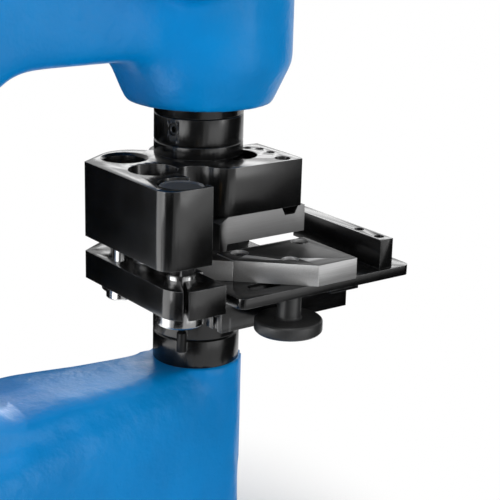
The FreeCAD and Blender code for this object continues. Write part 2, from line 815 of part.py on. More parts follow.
def ram():
    """Round ram with a rack milled in a flat at its back and a keyway in front."""
    piece = Piece("ram", z=at.socket_top)
    radius = at.ram_radius
    tall = at.ram_top - at.socket_top
    profile = [(0.0, 0.0), (radius, 0.0), (radius, tall - 2), (radius - 2, tall), (0.0, tall)]
    piece.revolve(profile)
    piece.pocket(piece.circles([(0.0, 0.0)], at.ram_neck_dia), at.ram_neck_tall + 0.5, back=True)
    # Flat behind the teeth, then the tooth gaps
    gear_z = at.gear_z - at.socket_top
    pitch = at.gear_module * math.pi
    length = at.rack_teeth * pitch
    tip = -at.rack_tip_from_axis
    flat = piece.rectangle(-at.ram_dia, tip, gear_z - length / 2 - 2, gear_z + length / 2 + 2, "XZ")
    piece.pocket(flat, at.ram_dia * 1.2, both=True)
    depth = at.gear_addendum + at.gear_dedendum
    slope = turned(at.gear_pressure_angle, "tan")
    pitch_half = pitch / 4 + at.gear_backlash / 4
    open_half = pitch_half + at.gear_addendum * slope
    root_half = pitch_half - at.gear_dedendum * slope
    first = gear_z - (at.rack_teeth - 1) / 2 * pitch + pitch / 2 - pitch / 2
    gap = [(tip - 1, first - open_half - slope), (tip - 1, first + open_half + slope)]
    gap += [(tip + depth, first + root_half), (tip + depth, first - root_half)]
    cut = piece.pocket(piece.outline(gap, "XZ"), at.ram_dia * 1.2, both=True)
    piece.row(cut, "Z_Axis", (at.rack_teeth - 1) * pitch, at.rack_teeth)
    # Keyway at the front
    key_low = at.nose_bottom + at.key_screw_rise - at.socket_top - 12
    half = at.ram_keyway_wide / 2
    way = piece.rectangle(-half, half, key_low, key_low + 36, "YZ", lift=radius - at.ram_keyway_deep)
    piece.pocket(way, at.ram_keyway_deep + 1, back=True)


def ram_fittings():
    """Stop collar on top of the ram, and the key screw that keeps it from turning."""
    collar = Piece("stop_collar", z=at.head_top + at.stop_collar_rise)
    collar.pad(collar.circles([(0.0, 0.0)], at.stop_collar_dia), at.stop_collar_tall)
    collar.pocket(collar.circles([(0.0, 0.0)], at.ram_dia, lift=at.stop_collar_tall))
    collar.dress("Chamfer", circle_at(at.stop_collar_tall, at.stop_collar_dia), 1.2)
    collar.pocket(collar.rectangle(0.0, at.stop_collar_dia, -1.25, 1.25, lift=at.stop_collar_tall))
    hole = collar.circles([(27.0, at.stop_collar_tall / 2)], 6.2, "XZ")
    collar.pocket(hole, at.stop_collar_dia, both=True)
    head = collar.circles([(27.0, at.stop_collar_tall / 2)], 10.4, "XZ", lift=9.0)
    collar.pocket(head, 30.0, back=True)
    screw_z = at.head_top + at.stop_collar_rise + at.stop_collar_tall / 2
    cap_screws("stop_collar_screw", [(0.0, 0.0)], screw_z, 6.0, 20.0, (Vector(1, 0, 0), 90), base=(27.0, -9.0))
    key = Piece("key_screw", z=at.nose_bottom + at.key_screw_rise, turn=(Vector(0, 1, 0), 90))
    outer = at.head_dia / 2
    root = at.ram_radius - at.ram_keyway_deep + 0.4
    key.pad(key.circles([(0.0, 0.0)], 10.0, lift=at.ram_radius + 0.5), outer - at.ram_radius - 2.5)
    key.pad(key.circles([(0.0, 0.0)], at.ram_keyway_wide - 0.1, lift=root), at.ram_keyway_deep + 0.5)
    key.pocket(hexagon(key, [(0.0, 0.0)], 5.0, outer - 2.0), 5.0)


def shank_and_socket():
    """Socket sleeve at the ram's end and the flanged shank of the punch holder in it."""
    radius = at.ram_radius
    stud = at.shank_stud_dia / 2
    neck = at.ram_neck_dia / 2
    socket = Piece("ram_socket", z=at.flange_top)
    edge = 0.6
    profile = [(stud, 0.0), (radius - edge, 0.0), (radius, edge), (radius, at.socket_tall - edge)]
    profile += [(radius - edge, at.socket_tall), (neck, at.socket_tall), (neck, at.socket_tall + at.ram_neck_tall)]
    profile += [(stud, at.socket_tall + at.ram_neck_tall)]
    socket.revolve(profile)
    place = Vector(math.cos(math.radians(202)), math.sin(math.radians(202)), 0)
    turn = FreeCAD.Rotation(Vector(0, 0, 1), place)
    screw = Piece("socket_set_screw", z=at.flange_top + 8, turn=(turn.Axis, math.degrees(turn.Angle)))
    screw.pad(screw.circles([(0.0, 0.0)], 6.0, lift=stud), radius - stud - 0.8)
    screw.pocket(hexagon(screw, [(0.0, 0.0)], 3.0, radius - 0.8), 3.0)
    hole = Piece("hole_tool", z=at.flange_top + 8, turn=(turn.Axis, math.degrees(turn.Angle)))
    pieces.remove(hole.body)
    hole.pad(hole.circles([(0.0, 0.0)], 6.0, lift=stud - 1), radius)
    drilled(socket, hole)
    shank = Piece("tool_shank", z=at.holder_top)
    flange = at.shank_flange_tall
    screw = at.shank_spigot_dia / 2
    profile = [(0.0, -at.shank_spigot_deep), (screw, -at.shank_spigot_deep), (screw, 0.0), (radius, 0.0)]
    profile += [(radius, flange - edge), (radius - edge, flange), (stud, flange)]
    profile += [(stud, flange + at.shank_stud_tall - 1), (stud - 1, flange + at.shank_stud_tall)]
    profile += [(0.0, flange + at.shank_stud_tall)]
    shank.revolve(profile)


def drilled(piece, tool):
    """Cuts a slanting hole, drawn as its own body, out of a piece."""
    piece.body.Tip.Visibility = False
    cut = doc.addObject("Part::Cut", piece.label + "_drilled")
    cut.Base = piece.body
    cut.Tool = tool.body
    label = piece.label
    piece.body.Label = label + "_blank"
    cut.Label = label
    pieces[pieces.index(piece.body)] = cut


# Punch side of the tool


def back_outline():
    """Back edge that the holder and the plate share, from right to left."""
    return [(-at.spring_x + 11, 19.5), (-at.spring_x - 4, 18.5), (-at.left_face, at.back_left)]


def punch_holder():
    """Block with guide bores, a relief beside the cutting corner and seats for the two blades."""
    piece = Piece("punch_holder", z=at.holder_bottom)
    tall = at.holder_tall
    corners = [(-at.left_face, -at.front_face), (-at.relief_left, -at.front_face)]
    corners += [(-at.relief_left, -at.punch_face), (at.right_face, -at.punch_face)]
    corners += [(at.right_face, -at.back_step), (0.0, -at.back_step)] + back_outline()
    piece.pad(piece.outline(corners), tall)
    rounds = [(-at.left_face, -at.front_face)]
    piece.dress("Fillet", upright_at(rounds), at.holder_corner_round)
    piece.dress("Fillet", upright_at([(at.right_face, -at.punch_face)]), 1.5)
    piece.pad(piece.circles([(-at.lobe_x, at.lobe_y)], 2 * at.lobe_radius), tall)
    piece.pad(piece.circles([(0.0, 0.0)], 2 * at.ram_lobe_radius), tall)
    # Relief: a slot with a round inner end, open at the front
    half = (at.relief_left - at.punch_side) / 2
    middle = -(at.relief_left + at.punch_side) / 2
    end = -at.relief_end - half
    piece.pocket(piece.circles([(middle, end)], 2 * half, lift=tall))
    relief = piece.rectangle(-at.relief_left, -at.punch_side, -at.front_face - 1, end, lift=tall)
    piece.pocket(relief)
    corner = [(-at.punch_side, -at.punch_face)]
    piece.dress("Fillet", upright_at(corner), at.holder_side_round)
    # Bores from the top
    guides = [(-at.front_pillar_x, -at.front_pillar_y), (-at.rear_pillar_x, at.rear_pillar_y)]
    piece.pocket(piece.circles(guides, at.guide_bush_dia, lift=tall))
    mouth = tall - at.guide_bush_tall - 1
    piece.pocket(piece.circles(guides[:1], at.guide_mouth_dia, lift=tall), mouth)
    piece.dress("Chamfer", circle_at(tall, at.guide_bush_dia), 1.4)
    piece.pocket(piece.circles([(-at.spring_x, -at.spring_y)], at.spring_bore_dia, lift=tall))
    deep = [(at.punch_bore_x, -at.punch_bore_y)]
    piece.pocket(piece.circles(deep, at.punch_bore_dia, lift=tall), at.punch_bore_deep)
    piece.pocket(piece.circles(deep, 12.5, lift=tall), at.punch_bore_deep + 10)
    piece.pocket(piece.circles(small_places(), 4.4, lift=tall), 12.0)
    piece.pocket(piece.circles(blade_top_places(), 4.5, lift=tall))
    piece.pocket(piece.circles(blade_top_places(), 8.0, lift=tall), 10.0)
    # Seats for the two blades, let in from below
    low = at.blade_tall
    front = piece.rectangle(-at.punch_side - 1, at.right_face + 1, -at.punch_face - 1, -at.punch_face + at.blade_thick)
    piece.pocket(front, low, back=True)
    knife_room = piece.rectangle(-at.knife_left_side - 1, -at.punch_side, -at.punch_face, at.side_knife_end + 1)
    piece.pocket(knife_room, at.knife_room, back=True)
    side = piece.rectangle(-at.punch_side - 1, -at.punch_side + at.blade_thick, -at.punch_face, at.side_blade_end)
    piece.pocket(side, low, back=True)
    # Tapped holes for the tool shank and the shoulder bolt
    piece.pocket(piece.circles([(0.0, 0.0)], at.shank_spigot_dia, lift=tall), at.shank_spigot_deep + 0.5)
    bolt = piece.circles([(-at.shoulder_x, -at.shoulder_y)], 5.0)
    piece.pocket(bolt, 14.0, back=True)


def small_places():
    """Three small dowel holes at the right end of the top."""
    return [(24.9, -7.3), (29.4, -12.2), (29.7, -21.0)]


def blade_top_places():
    """The screw that holds the front blade from the top."""
    return [(27.0, at.blade_screw_y)]


def blades():
    """Two ground blades that meet at the cutting corner, the front one with a guiding heel."""
    front = Piece("front_blade", z=at.holder_bottom)
    left = -at.punch_side
    right = at.right_face + at.blade_over
    face = at.blade_thick
    top = at.blade_tall
    notch = at.blade_notch_wide / 2
    profile = [(left, -at.heel_drop), (left + at.heel_long, -at.heel_drop), (left + at.heel_long + 0.6, 0.0)]
    profile += [(right, 0.0), (right, top), (at.blade_notch_x + notch, top), (at.blade_notch_x + notch * 0.6, top - 3.8)]
    profile += [(at.blade_notch_x - notch * 0.6, top - 3.8), (at.blade_notch_x - notch, top)]
    profile += [(left + 5, top), (left, top - 3)]
    sketch = front.outline(profile, "XZ", lift=at.punch_face - face)
    front.pad(sketch, face)
    front.pocket(front.circles(blade_top_places(), 4.0, lift=top), 12.0)
    side = Piece("side_blade", z=at.holder_bottom)
    plan = side.rectangle(left, left + face, -at.punch_face + face, at.side_blade_end)
    side.pad(plan, top)
    cap_screws("blade_screw", blade_top_places(), at.holder_top - 10.0, 4.0, 24.0, head_dia=7.6)
    holder = cap_screws("holder_screw", [(at.punch_bore_x, -at.punch_bore_y)], at.holder_top - at.punch_bore_deep,
                        12.0, 9.0, head_tall=11.0)
    dowels = Piece("dowel_pins", z=at.holder_top - 12)
    dowels.pad(dowels.circles(small_places(), 4.4), 11.2)
    return front, side, holder


def guides():
    """Pillars fixed in the die plate, their bushes, the spring between them and its plug."""
    places = [(-at.front_pillar_x, -at.front_pillar_y), (-at.rear_pillar_x, at.rear_pillar_y)]
    for label, (x, y) in zip(("front_pillar", "rear_pillar"), places):
        pillar = Piece(label, x, y, at.plate_bottom)
        radius = at.pillar_dia / 2
        top = at.holder_top - at.pillar_top_drop - at.plate_bottom
        flange = at.pillar_flange_dia / 2
        ring = at.plate_thick + 1.6
        profile = [(0.0, -at.pillar_flange_tall), (flange - 0.8, -at.pillar_flange_tall)]
        profile += [(flange, -at.pillar_flange_tall + 0.8), (flange, 0.0), (radius, 0.0), (radius, ring)]
        profile += [(radius - 0.5, ring), (radius - 0.5, ring + 0.8), (radius, ring + 0.8), (radius, top - 2)]
        profile += [(radius - 1.2, top), (0.0, top)]
        pillar.revolve(profile)
    bush = Piece("guide_bushes", z=at.holder_bottom)
    low = at.knife_room
    bush.pad(bush.circles(places, at.guide_bush_dia, lift=low), at.guide_bush_tall - low)
    bush.pocket(bush.circles(places, at.pillar_dia + 2 * at.pillar_clearance, lift=at.guide_bush_tall))
    cap = Piece("bore_cap", *places[0], at.holder_top - 4.0)
    cap.pad(cap.circles([(0.0, 0.0)], at.guide_mouth_dia - 0.2), 3.0)
    cap.dress("Chamfer", circle_at(3.0, at.guide_mouth_dia - 0.2), 0.5)
    plug = Piece("spring_plug", -at.spring_x, -at.spring_y, at.holder_top - at.spring_plug_drop - at.spring_plug_tall)
    plug.pad(plug.circles([(0.0, 0.0)], at.spring_bore_dia), at.spring_plug_tall)
    plug.pocket(hexagon(plug, [(0.0, 0.0)], 10.0, at.spring_plug_tall), 4.0)
    coil()
    bolt = Piece("shoulder_bolt", -at.shoulder_x, -at.shoulder_y, at.plate_bottom)
    head = at.shoulder_head_dia / 2
    shoulder = at.shoulder_dia / 2
    reach = at.plate_thick + at.open_gap
    profile = [(0.0, -at.shoulder_head_tall), (head - 0.8, -at.shoulder_head_tall), (head, -at.shoulder_head_tall + 0.8)]
    profile += [(head, 0.0), (shoulder, 0.0), (shoulder, reach), (2.5, reach), (2.5, reach + 12), (0.0, reach + 12)]
    bolt.revolve(profile)
    bolt.pocket(hexagon(bolt, [(0.0, 0.0)], 5.0, -at.shoulder_head_tall), 3.0, back=True)


def coil():
    """The return spring as one wire on a helix of biarcs, between its two seats."""
    seat = number(at.plate_top - at.spring_seat_deep)
    tall = number(at.holder_top - at.spring_plug_drop - at.spring_plug_tall) - seat
    wire = number(at.spring_wire)
    radius = (number(at.spring_dia) - wire) / 2
    turns = int(number(at.spring_turns))
    rise = (tall - wire) / turns
    path = helix_path(radius, rise, turns)
    start = Vector(radius, 0, 0)
    along = Vector(0, radius, rise / (2 * math.pi))
    end = Part.Wire([Part.Circle(start, along, wire / 2).toShape()])
    shape = path.makePipeShell([end], True, False)
    print(f"spring: least gap between turns {rise * math.cos(math.atan2(along.z, along.y)) - wire:.2f} mm")
    item = doc.addObject("Part::Feature", "return_spring")
    item.Label = "return_spring"
    item.Shape = shape
    bind(item, "Placement.Base.x", -at.spring_x)
    bind(item, "Placement.Base.y", -at.spring_y)
    bind(item, "Placement.Base.z", at.plate_top - at.spring_seat_deep + at.spring_wire / 2)
    pieces.append(item)


def helix_path(radius, rise, turns):
    """A helix as two arcs for each quarter turn."""
    edges = []
    for quarter in range(4 * turns):
        ends = []
        for step in (quarter, quarter + 1):
            angle = step * math.pi / 2
            place = Vector(radius * math.cos(angle), radius * math.sin(angle), rise * step / 4)
            way = Vector(-radius * math.sin(angle), radius * math.cos(angle), rise / (2 * math.pi))
            ends.append((place, way.normalize()))
        (a, way_a), (b, way_b) = ends
        chord = b - a
        both = way_a + way_b
        spread = 2 * (1 - way_a.dot(way_b))
        reach = (-chord.dot(both) + math.sqrt(chord.dot(both) ** 2 + spread * chord.dot(chord))) / spread
        middle = (a + b + (way_a - way_b) * reach) * 0.5
        for low, knee, high in ((a, a + way_a * reach, middle), (middle, b - way_b * reach, b)):
            weight = (high - low).Length / 2 / reach
            crest = (low + knee * (2 * weight) + high) * (1 / (2 + 2 * weight))
            edges.append(Part.Arc(low, crest, high).toShape())
    return Part.Wire(edges)


# Die side of the tool


def die_plate():
    """Plate under the knives, with the corner foot, the knife seats and the slug way."""
    piece = Piece("die_plate", z=at.plate_bottom)
    thick = at.plate_thick
    corners = [(-at.left_face, -at.foot_front_face), (-at.foot_x, -at.foot_front_face)]
    corners += [(-at.foot_x, -at.plate_front), (at.plate_right, -at.plate_front)]
    corners += [(at.plate_right, 12.0), (0.0, 12.0)] + back_outline()
    piece.pad(piece.outline(corners), thick)
    piece.dress("Fillet", upright_at([(-at.left_face, -at.foot_front_face)]), at.plate_corner_round)
    piece.pad(piece.circles([(-at.lobe_x, at.lobe_y)], 2 * at.lobe_radius), thick)
    piece.pad(piece.circles([(0.0, 0.0)], 2 * at.ram_lobe_radius), thick)
    end = at.slug_end
    seat = piece.rectangle(-at.knife_left_side, at.plate_right + 1, -at.plate_front - 1, end, lift=thick)
    piece.pocket(seat, thick - at.knife_seat)
    slug = piece.rectangle(-at.knife_side, at.plate_right + 1, -at.knife_edge, end, lift=at.knife_seat)
    piece.pocket(slug, at.knife_seat - at.slug_floor)
    guides_at = [(-at.front_pillar_x, -at.front_pillar_y), (-at.rear_pillar_x, at.rear_pillar_y)]
    piece.pocket(piece.circles(guides_at, at.pillar_dia, lift=thick))
    bolt_hole = piece.circles([(-at.shoulder_x, -at.shoulder_y)], at.shoulder_dia + 0.8, lift=thick)
    piece.pocket(bolt_hole)
    spring_seat = piece.circles([(-at.spring_x, -at.spring_y)], at.spring_dia + 0.6, lift=thick)
    piece.pocket(spring_seat, at.spring_seat_deep)
    # Clamping slit from the corner to the front pillar
    slit = math.radians(243)
    ahead = (math.cos(slit), math.sin(slit))
    aside = (-ahead[1], ahead[0])
    outline = []
    for along, across in ((0, -1), (40, -1), (40, 1), (0, 1)):
        x = -at.front_pillar_x + along * ahead[0] + across * aside[0] * at.slit_wide / 2
        y = -at.front_pillar_y + along * ahead[1] + across * aside[1] * at.slit_wide / 2
        outline.append((x, y))
    piece.pocket(piece.outline(outline, lift=thick))
    # Screw holes
    piece.pocket(piece.circles(knife_screw_places(), 5.0, lift=thick))
    piece.pocket(piece.circles(spigot_places(), 5.0), 7.0, back=True)
    piece.pocket(piece.circles(bar_screw_places(), 6.0), 6.0, back=True)


def knife_screw_places():
    """Two screws in each knife."""
    front = [(at.knife_nose_x - 20, -45.4), (at.plate_right - 7, -45.4)]
    left = [(-22.5, -31.0), (-22.5, 1.0)]
    return front + left


def bar_screw_places():
    """Screws that hold the bar under the plate."""
    return [(-13.5, -43.8), (20.0, -43.8)]


def knives():
    """Two hardened die knives that frame the cutting corner."""
    thick = at.knife_thick
    front = Piece("front_knife", z=at.seat_top)
    edge = -at.knife_edge
    joint = -at.knife_joint_x
    rise = (at.knife_nose_y - at.knife_edge) / (at.knife_nose_x + at.knife_left_side)
    joint_y = -at.knife_nose_y + (at.knife_nose_x + at.knife_joint_x) * rise
    corners = [(joint, edge), (joint, joint_y), (at.knife_nose_x, -at.knife_nose_y)]
    corners += [(at.plate_right, -at.knife_nose_y), (at.plate_right, edge)]
    front.pad(front.outline(corners), thick)
    front.pocket(front.circles([(at.knob_x, -at.knob_y)], at.knob_stud_dia + 0.1, lift=thick))
    side = Piece("side_knife", z=at.seat_top)
    left = -at.knife_left_side
    corners = [(left, edge), (joint - 0.02, joint_y + 0.02), (joint - 0.02, edge), (-at.knife_side, edge)]
    corners += [(-at.knife_side, at.side_knife_end), (left, at.side_knife_end)]
    side.pad(side.outline(corners), thick - at.knife_step)
    places = knife_screw_places()
    for piece, spots, tall in ((front, places[:2], thick), (side, places[2:], thick - at.knife_step)):
        piece.pocket(piece.circles(spots, 5.5, lift=tall))
        piece.pocket(piece.circles(spots, 8.6, lift=tall), tall - thick + 5.4 + at.knife_step)
    cap_screws("knife_screws", places, at.seat_top + thick - 5.4 - at.knife_step, 5.0, 10.0, head_tall=4.6, head_dia=8.2)


def support_bar():
    """Bar under the plate, with an end that carries the rail's overhang."""
    bar = Piece("support_bar", z=at.plate_bottom - at.bar_drop)
    tall = at.bar_drop
    bar.pad(bar.rectangle(-at.bar_left, at.bar_right, -at.bar_front, -at.bar_rear), tall)
    shelf = bar.rectangle(at.plate_right + 4, at.bar_right, -at.bar_front - 9, -at.bar_front + 4, lift=tall - 8)
    bar.pad(shelf, 8 + at.rail_bottom - at.plate_bottom - at.shelf_gap)
    bar.dress("Fillet", upright_at([(at.bar_right, -at.bar_rear)]), 3.0)
    bar.pocket(bar.circles(bar_screw_places(), 6.4, lift=tall))
    bar.pocket(bar.circles(bar_screw_places(), 10.6), 7.0, back=True)
    mirrored = [(x, -y) for x, y in bar_screw_places()]
    cap_screws("bar_screws", mirrored, at.plate_bottom - tall + 7, 6.0, tall - 7 + 5.5, (Vector(1, 0, 0), 180))


# Stop rail and its clamp


def stop_rail():
    """Slotted rail that slides along x under the front knife, with its fence."""
    rail = Piece("stop_rail", z=at.rail_bottom)
    thick = at.rail_thick
    rail.pad(rail.rectangle(-at.rail_left, at.rail_right, -at.rail_front, -at.rail_rear), thick)
    corner = [(-at.rail_left, -at.rail_front), (at.rail_right, -at.rail_front)]
    rail.dress("Fillet", upright_at(corner), 4.0)
    low = at.knob_x - at.rail_travel_out
    high = at.knob_x + at.rail_travel_in
    rail.pocket(rail.slot(low, high, -at.knob_y, at.rail_slot_wide, lift=thick))
    rail.pocket(rail.circles(fence_places(), 5.0, lift=thick))
    rail.pocket(rail.circles(fence_places(), 8.6), at.fence_head + 0.1, back=True)
    fence = Piece("stop_fence", z=at.rail_top)
    right = at.fence_x + at.fence_thick
    fence.pad(fence.rectangle(at.fence_x, right, -at.rail_front + 2, -at.fence_rear), at.fence_tall)
    fence.dress("Fillet", upright_at([(at.fence_x, -at.fence_rear), (right, -at.fence_rear)]), 2.0)
    fence.pocket(fence.circles(fence_places(), 5.0, lift=at.fence_tall))
    mirrored = [(x, -y) for x, y in fence_places()]
    flip = (Vector(1, 0, 0), 180)
    head_top = at.rail_bottom + at.fence_head + 0.1
    cap_screws("fence_screws", mirrored, head_top, 5.0, 13.0, flip, head_tall=at.fence_head, head_dia=8.5)


def fence_places():
    """Two screws from below that hold the fence on the rail."""
    middle = at.fence_x + at.fence_thick / 2
    return [(middle, -at.rail_front + 8), (middle, -at.rail_rear - 5)]


def clamp():
    """Thumb screw below the rail: a disc on a shank, its stud and a washer."""
    washer = Piece("clamp_washer", at.knob_x, -at.knob_y, at.rail_bottom - at.washer_thick)
    washer.pad(washer.circles([(0.0, 0.0)], at.washer_dia), at.washer_thick)
    washer.pocket(washer.circles([(0.0, 0.0)], at.knob_stud_dia + 0.5, lift=at.washer_thick))
    base = at.rail_bottom - at.washer_thick - at.knob_shank_tall - at.knob_thick
    knob = Piece("clamp_knob", at.knob_x, -at.knob_y, base)
    outer = at.knob_dia / 2
    shank = at.knob_shank_dia / 2
    stud = at.knob_stud_dia / 2
    top = at.knob_thick
    profile = [(stud, 0.0), (outer - 1.2, 0.0), (outer, 1.2), (outer, top - 1.0), (outer - 1.0, top), (shank + 1, top)]
    profile += [(shank, top + 1), (shank, top + at.knob_shank_tall), (stud, top + at.knob_shank_tall)]
    knob.revolve(profile)
    screw = Piece("clamp_stud", at.knob_x, -at.knob_y, base)
    length = top + at.knob_shank_tall + at.washer_thick + at.rail_thick + at.knife_thick - 1.5
    screw.pad(screw.circles([(0.0, 0.0)], at.knob_stud_dia, lift=1.0), length - 1.0)


# Build, check and write


def check():
    """Stops if an object failed or a piece has no good solid."""
    doc.recompute()
    for item in doc.Objects:
        if "Invalid" in item.State or "Error" in item.State:
            raise RuntimeError(f"{item.Name}: {item.State}")
    for item in pieces:
        shape = item.Shape
        if shape.isNull() or not shape.isValid() or not shape.Solids:
            raise RuntimeError(f"{item.Label}: no valid solid")


def write():
    """One file for each piece, named by its label."""
    os.makedirs("parts", exist_ok=True)
    for item in pieces:
        item.Shape.exportStep(os.path.join("parts", item.Label + ".step"))
        print(f"{item.Label}: {len(item.Shape.Solids)} solid(s), {item.Shape.Volume:.0f} mm3")


frame_casting()
insert_and_spigot()
pinion_shaft()
shaft_bushes()
lever_parts()
ram()
ram_fittings()
shank_and_socket()
punch_holder()
blades()
guides()
die_plate()
knives()
support_bar()
stop_rail()
clamp()
check()
write()
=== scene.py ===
import json
import math

import bmesh
import bpy
import numpy as np
from mathutils import Matrix, Vector


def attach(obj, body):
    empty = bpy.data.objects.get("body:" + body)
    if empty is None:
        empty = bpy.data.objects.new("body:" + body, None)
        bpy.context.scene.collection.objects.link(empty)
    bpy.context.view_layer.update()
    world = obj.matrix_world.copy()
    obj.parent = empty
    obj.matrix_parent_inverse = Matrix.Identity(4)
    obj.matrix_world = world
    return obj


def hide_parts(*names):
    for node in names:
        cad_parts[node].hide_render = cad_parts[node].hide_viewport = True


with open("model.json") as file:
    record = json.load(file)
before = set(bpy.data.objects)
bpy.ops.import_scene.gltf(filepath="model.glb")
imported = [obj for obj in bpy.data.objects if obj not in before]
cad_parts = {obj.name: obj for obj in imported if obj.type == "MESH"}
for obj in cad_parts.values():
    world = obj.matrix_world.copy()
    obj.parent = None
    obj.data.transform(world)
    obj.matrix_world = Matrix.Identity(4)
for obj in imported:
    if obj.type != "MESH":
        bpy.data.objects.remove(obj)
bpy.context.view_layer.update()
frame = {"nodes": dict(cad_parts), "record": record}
record = frame["record"]
bodyOf = {node: body for body, nodes in record["behaviour"]["bodies"].items() for node in nodes}
slotOf = {part["node"]: part["material_slot"] for part in record["subparts"]}
print("frame loaded")


# shader maths on sockets

class Wire:
    # one output socket; each operator adds a Math node to the same material
    def __init__(self, finish, socket):
        self.finish = finish
        self.socket = socket

    def maths(self, operation, other=0.0, flip=False):
        pair = [other, self] if flip else [self, other]
        return self.finish.node("Math", {"operation": operation}, {0: pair[0], 1: pair[1]})

    def __add__(self, other):
        return self.maths("ADD", other)

    def __radd__(self, other):
        return self.maths("ADD", other)

    def __sub__(self, other):
        return self.maths("SUBTRACT", other)

    def __rsub__(self, other):
        return self.maths("SUBTRACT", other, flip=True)

    def __mul__(self, other):
        return self.maths("MULTIPLY", other)

    def __rmul__(self, other):
        return self.maths("MULTIPLY", other)

    def step(self, low, high):
        # smooth rise from 0 at low to 1 at high
        span = {"Value": self, "From Min": low, "From Max": high}
        return self.finish.node("MapRange", {"interpolation_type": "SMOOTHSTEP"}, span)


class Finish:
    # one material with its own node tree
    def __init__(self, name):
        self.material = bpy.data.materials.new(name)
        self.material.use_nodes = True
        self.tree = self.material.node_tree
        self.tree.nodes.clear()

    def node(self, kind, settings=None, inputs=None, out=0):
        # a node by its type, its settings first, then the values or links of its sockets
        made = self.tree.nodes.new("ShaderNode" + kind)
        for key, value in (settings or {}).items():
            setattr(made, key, value)
        for key, value in (inputs or {}).items():
            socket = made.inputs[key]
            if isinstance(value, Wire):
                self.tree.links.new(value.socket, socket)
            else:
                socket.default_value = value
        return Wire(self, made.outputs[out]) if len(made.outputs) else None

    def coords(self, scale=(1.0, 1.0, 1.0)):
        # place on the piece in metres, stretched along each axis
        where = self.node("TexCoord", out="Object")
        return self.node("Mapping", {}, {"Vector": where, "Scale": scale})

    def noise(self, where, scale, detail, rough):
        inputs = {"Vector": where, "Scale": scale, "Detail": detail, "Roughness": rough}
        return self.node("TexNoise", {}, inputs)

    def facing(self, axis, low=0.80, high=0.95):
        # 1 on faces square to one axis of the piece, 0 on the others, by the share of the normal along it
        normal = self.node("TexCoord", out="Normal")
        along = self.node("SeparateXYZ", {}, {0: normal}, out="XYZ".index(axis))
        return along.maths("ABSOLUTE").step(low, high)

    def blend(self, mask, first, second):
        # first colour where the mask is 0, second where it is 1
        inputs = {0: mask, 6: first, 7: second}
        return self.node("Mix", {"data_type": "RGBA"}, inputs, out=2)

    def bump(self, height, depth, below=None):
        # a normal from a height of so many metres, on top of the one below
        inputs = {"Height": height, "Distance": depth}
        if below is not None:
            inputs["Normal"] = below
        return self.node("Bump", {}, inputs)

    def edges(self, radius, low=0.01, high=0.16):
        # 1 on an edge sharper than the radius, 0 on a flat: 1 minus the dot product of soft and true normals
        soft = self.node("Bevel", {"samples": 4}, {"Radius": radius})
        flat = self.node("NewGeometry", out="Normal")
        close = self.node("VectorMath", {"operation": "DOT_PRODUCT"}, {0: soft, 1: flat}, out="Value")
        return (1.0 - close).step(low, high)

    def surface(self, **sockets):
        # the shader with its sockets by name, an underscore for each blank
        inputs = {key.replace("_", " "): value for key, value in sockets.items()}
        shader = self.node("BsdfPrincipled", {}, inputs)
        self.node("OutputMaterial", {}, {"Surface": shader})
        return self.material


def grey(value, warm=0.0):
    # a grey that is a little redder, or bluer where warm is negative
    return (value * (1 + warm), value, value * (1 - warm), 1.0)


# finishes; each noise is given as scale, detail and roughness

bluePaintLook = {
    "colour": (0.0, 0.222, 0.578, 1.0),
    "thin": (0.0, 0.192, 0.51, 1.0),
    "thinRange": (0.3, 0.7),
    "edge": (0.0, 0.30, 0.64, 1.0),
    "edgeRadius": 0.0016,
    "edgeShare": 0.5,
    "shine": 0.10,
    "rough": 0.25,
    "lumpRough": 0.16,
    "speckRough": 0.15,
    "swell": (26.0, 2.0, 0.5),
    "swellDepth": 0.00154,
    "lumps": (95.0, 3.0, 0.55),
    "lumpDepth": 0.0007,
    "peel": (520.0, 2.0, 0.5),
    "peelDepth": 0.00008,
    "specks": (900.0, 1.0, 0.55),
    "speckRange": (0.70, 0.78),
}


def bluePaint():
    # enamel over rough cast iron: swells of the sand mould, lumps and fine orange peel, one bump on the
    # other; a lighter blue on the sharp edges is a painted highlight
    look = bluePaintLook
    f = Finish("bluePaint")
    where = f.coords()
    swell = f.noise(where, *look["swell"])
    lumps = f.noise(where, *look["lumps"])
    peel = f.noise(where, *look["peel"])
    specks = f.noise(where, *look["specks"]).step(*look["speckRange"])
    tone = f.blend(swell.step(*look["thinRange"]), look["thin"], look["colour"])
    # painted highlight: a lighter blue laid on the sharp edges
    tone = f.blend(f.edges(look["edgeRadius"]) * look["edgeShare"], tone, look["edge"])
    rough = look["rough"] + look["lumpRough"] * lumps + look["speckRough"] * specks
    normal = f.bump(swell, look["swellDepth"])
    normal = f.bump(lumps, look["lumpDepth"], normal)
    normal = f.bump(peel, look["peelDepth"], normal)
    return f.surface(Base_Color=tone, Roughness=rough, Normal=normal, Specular_IOR_Level=look["shine"])


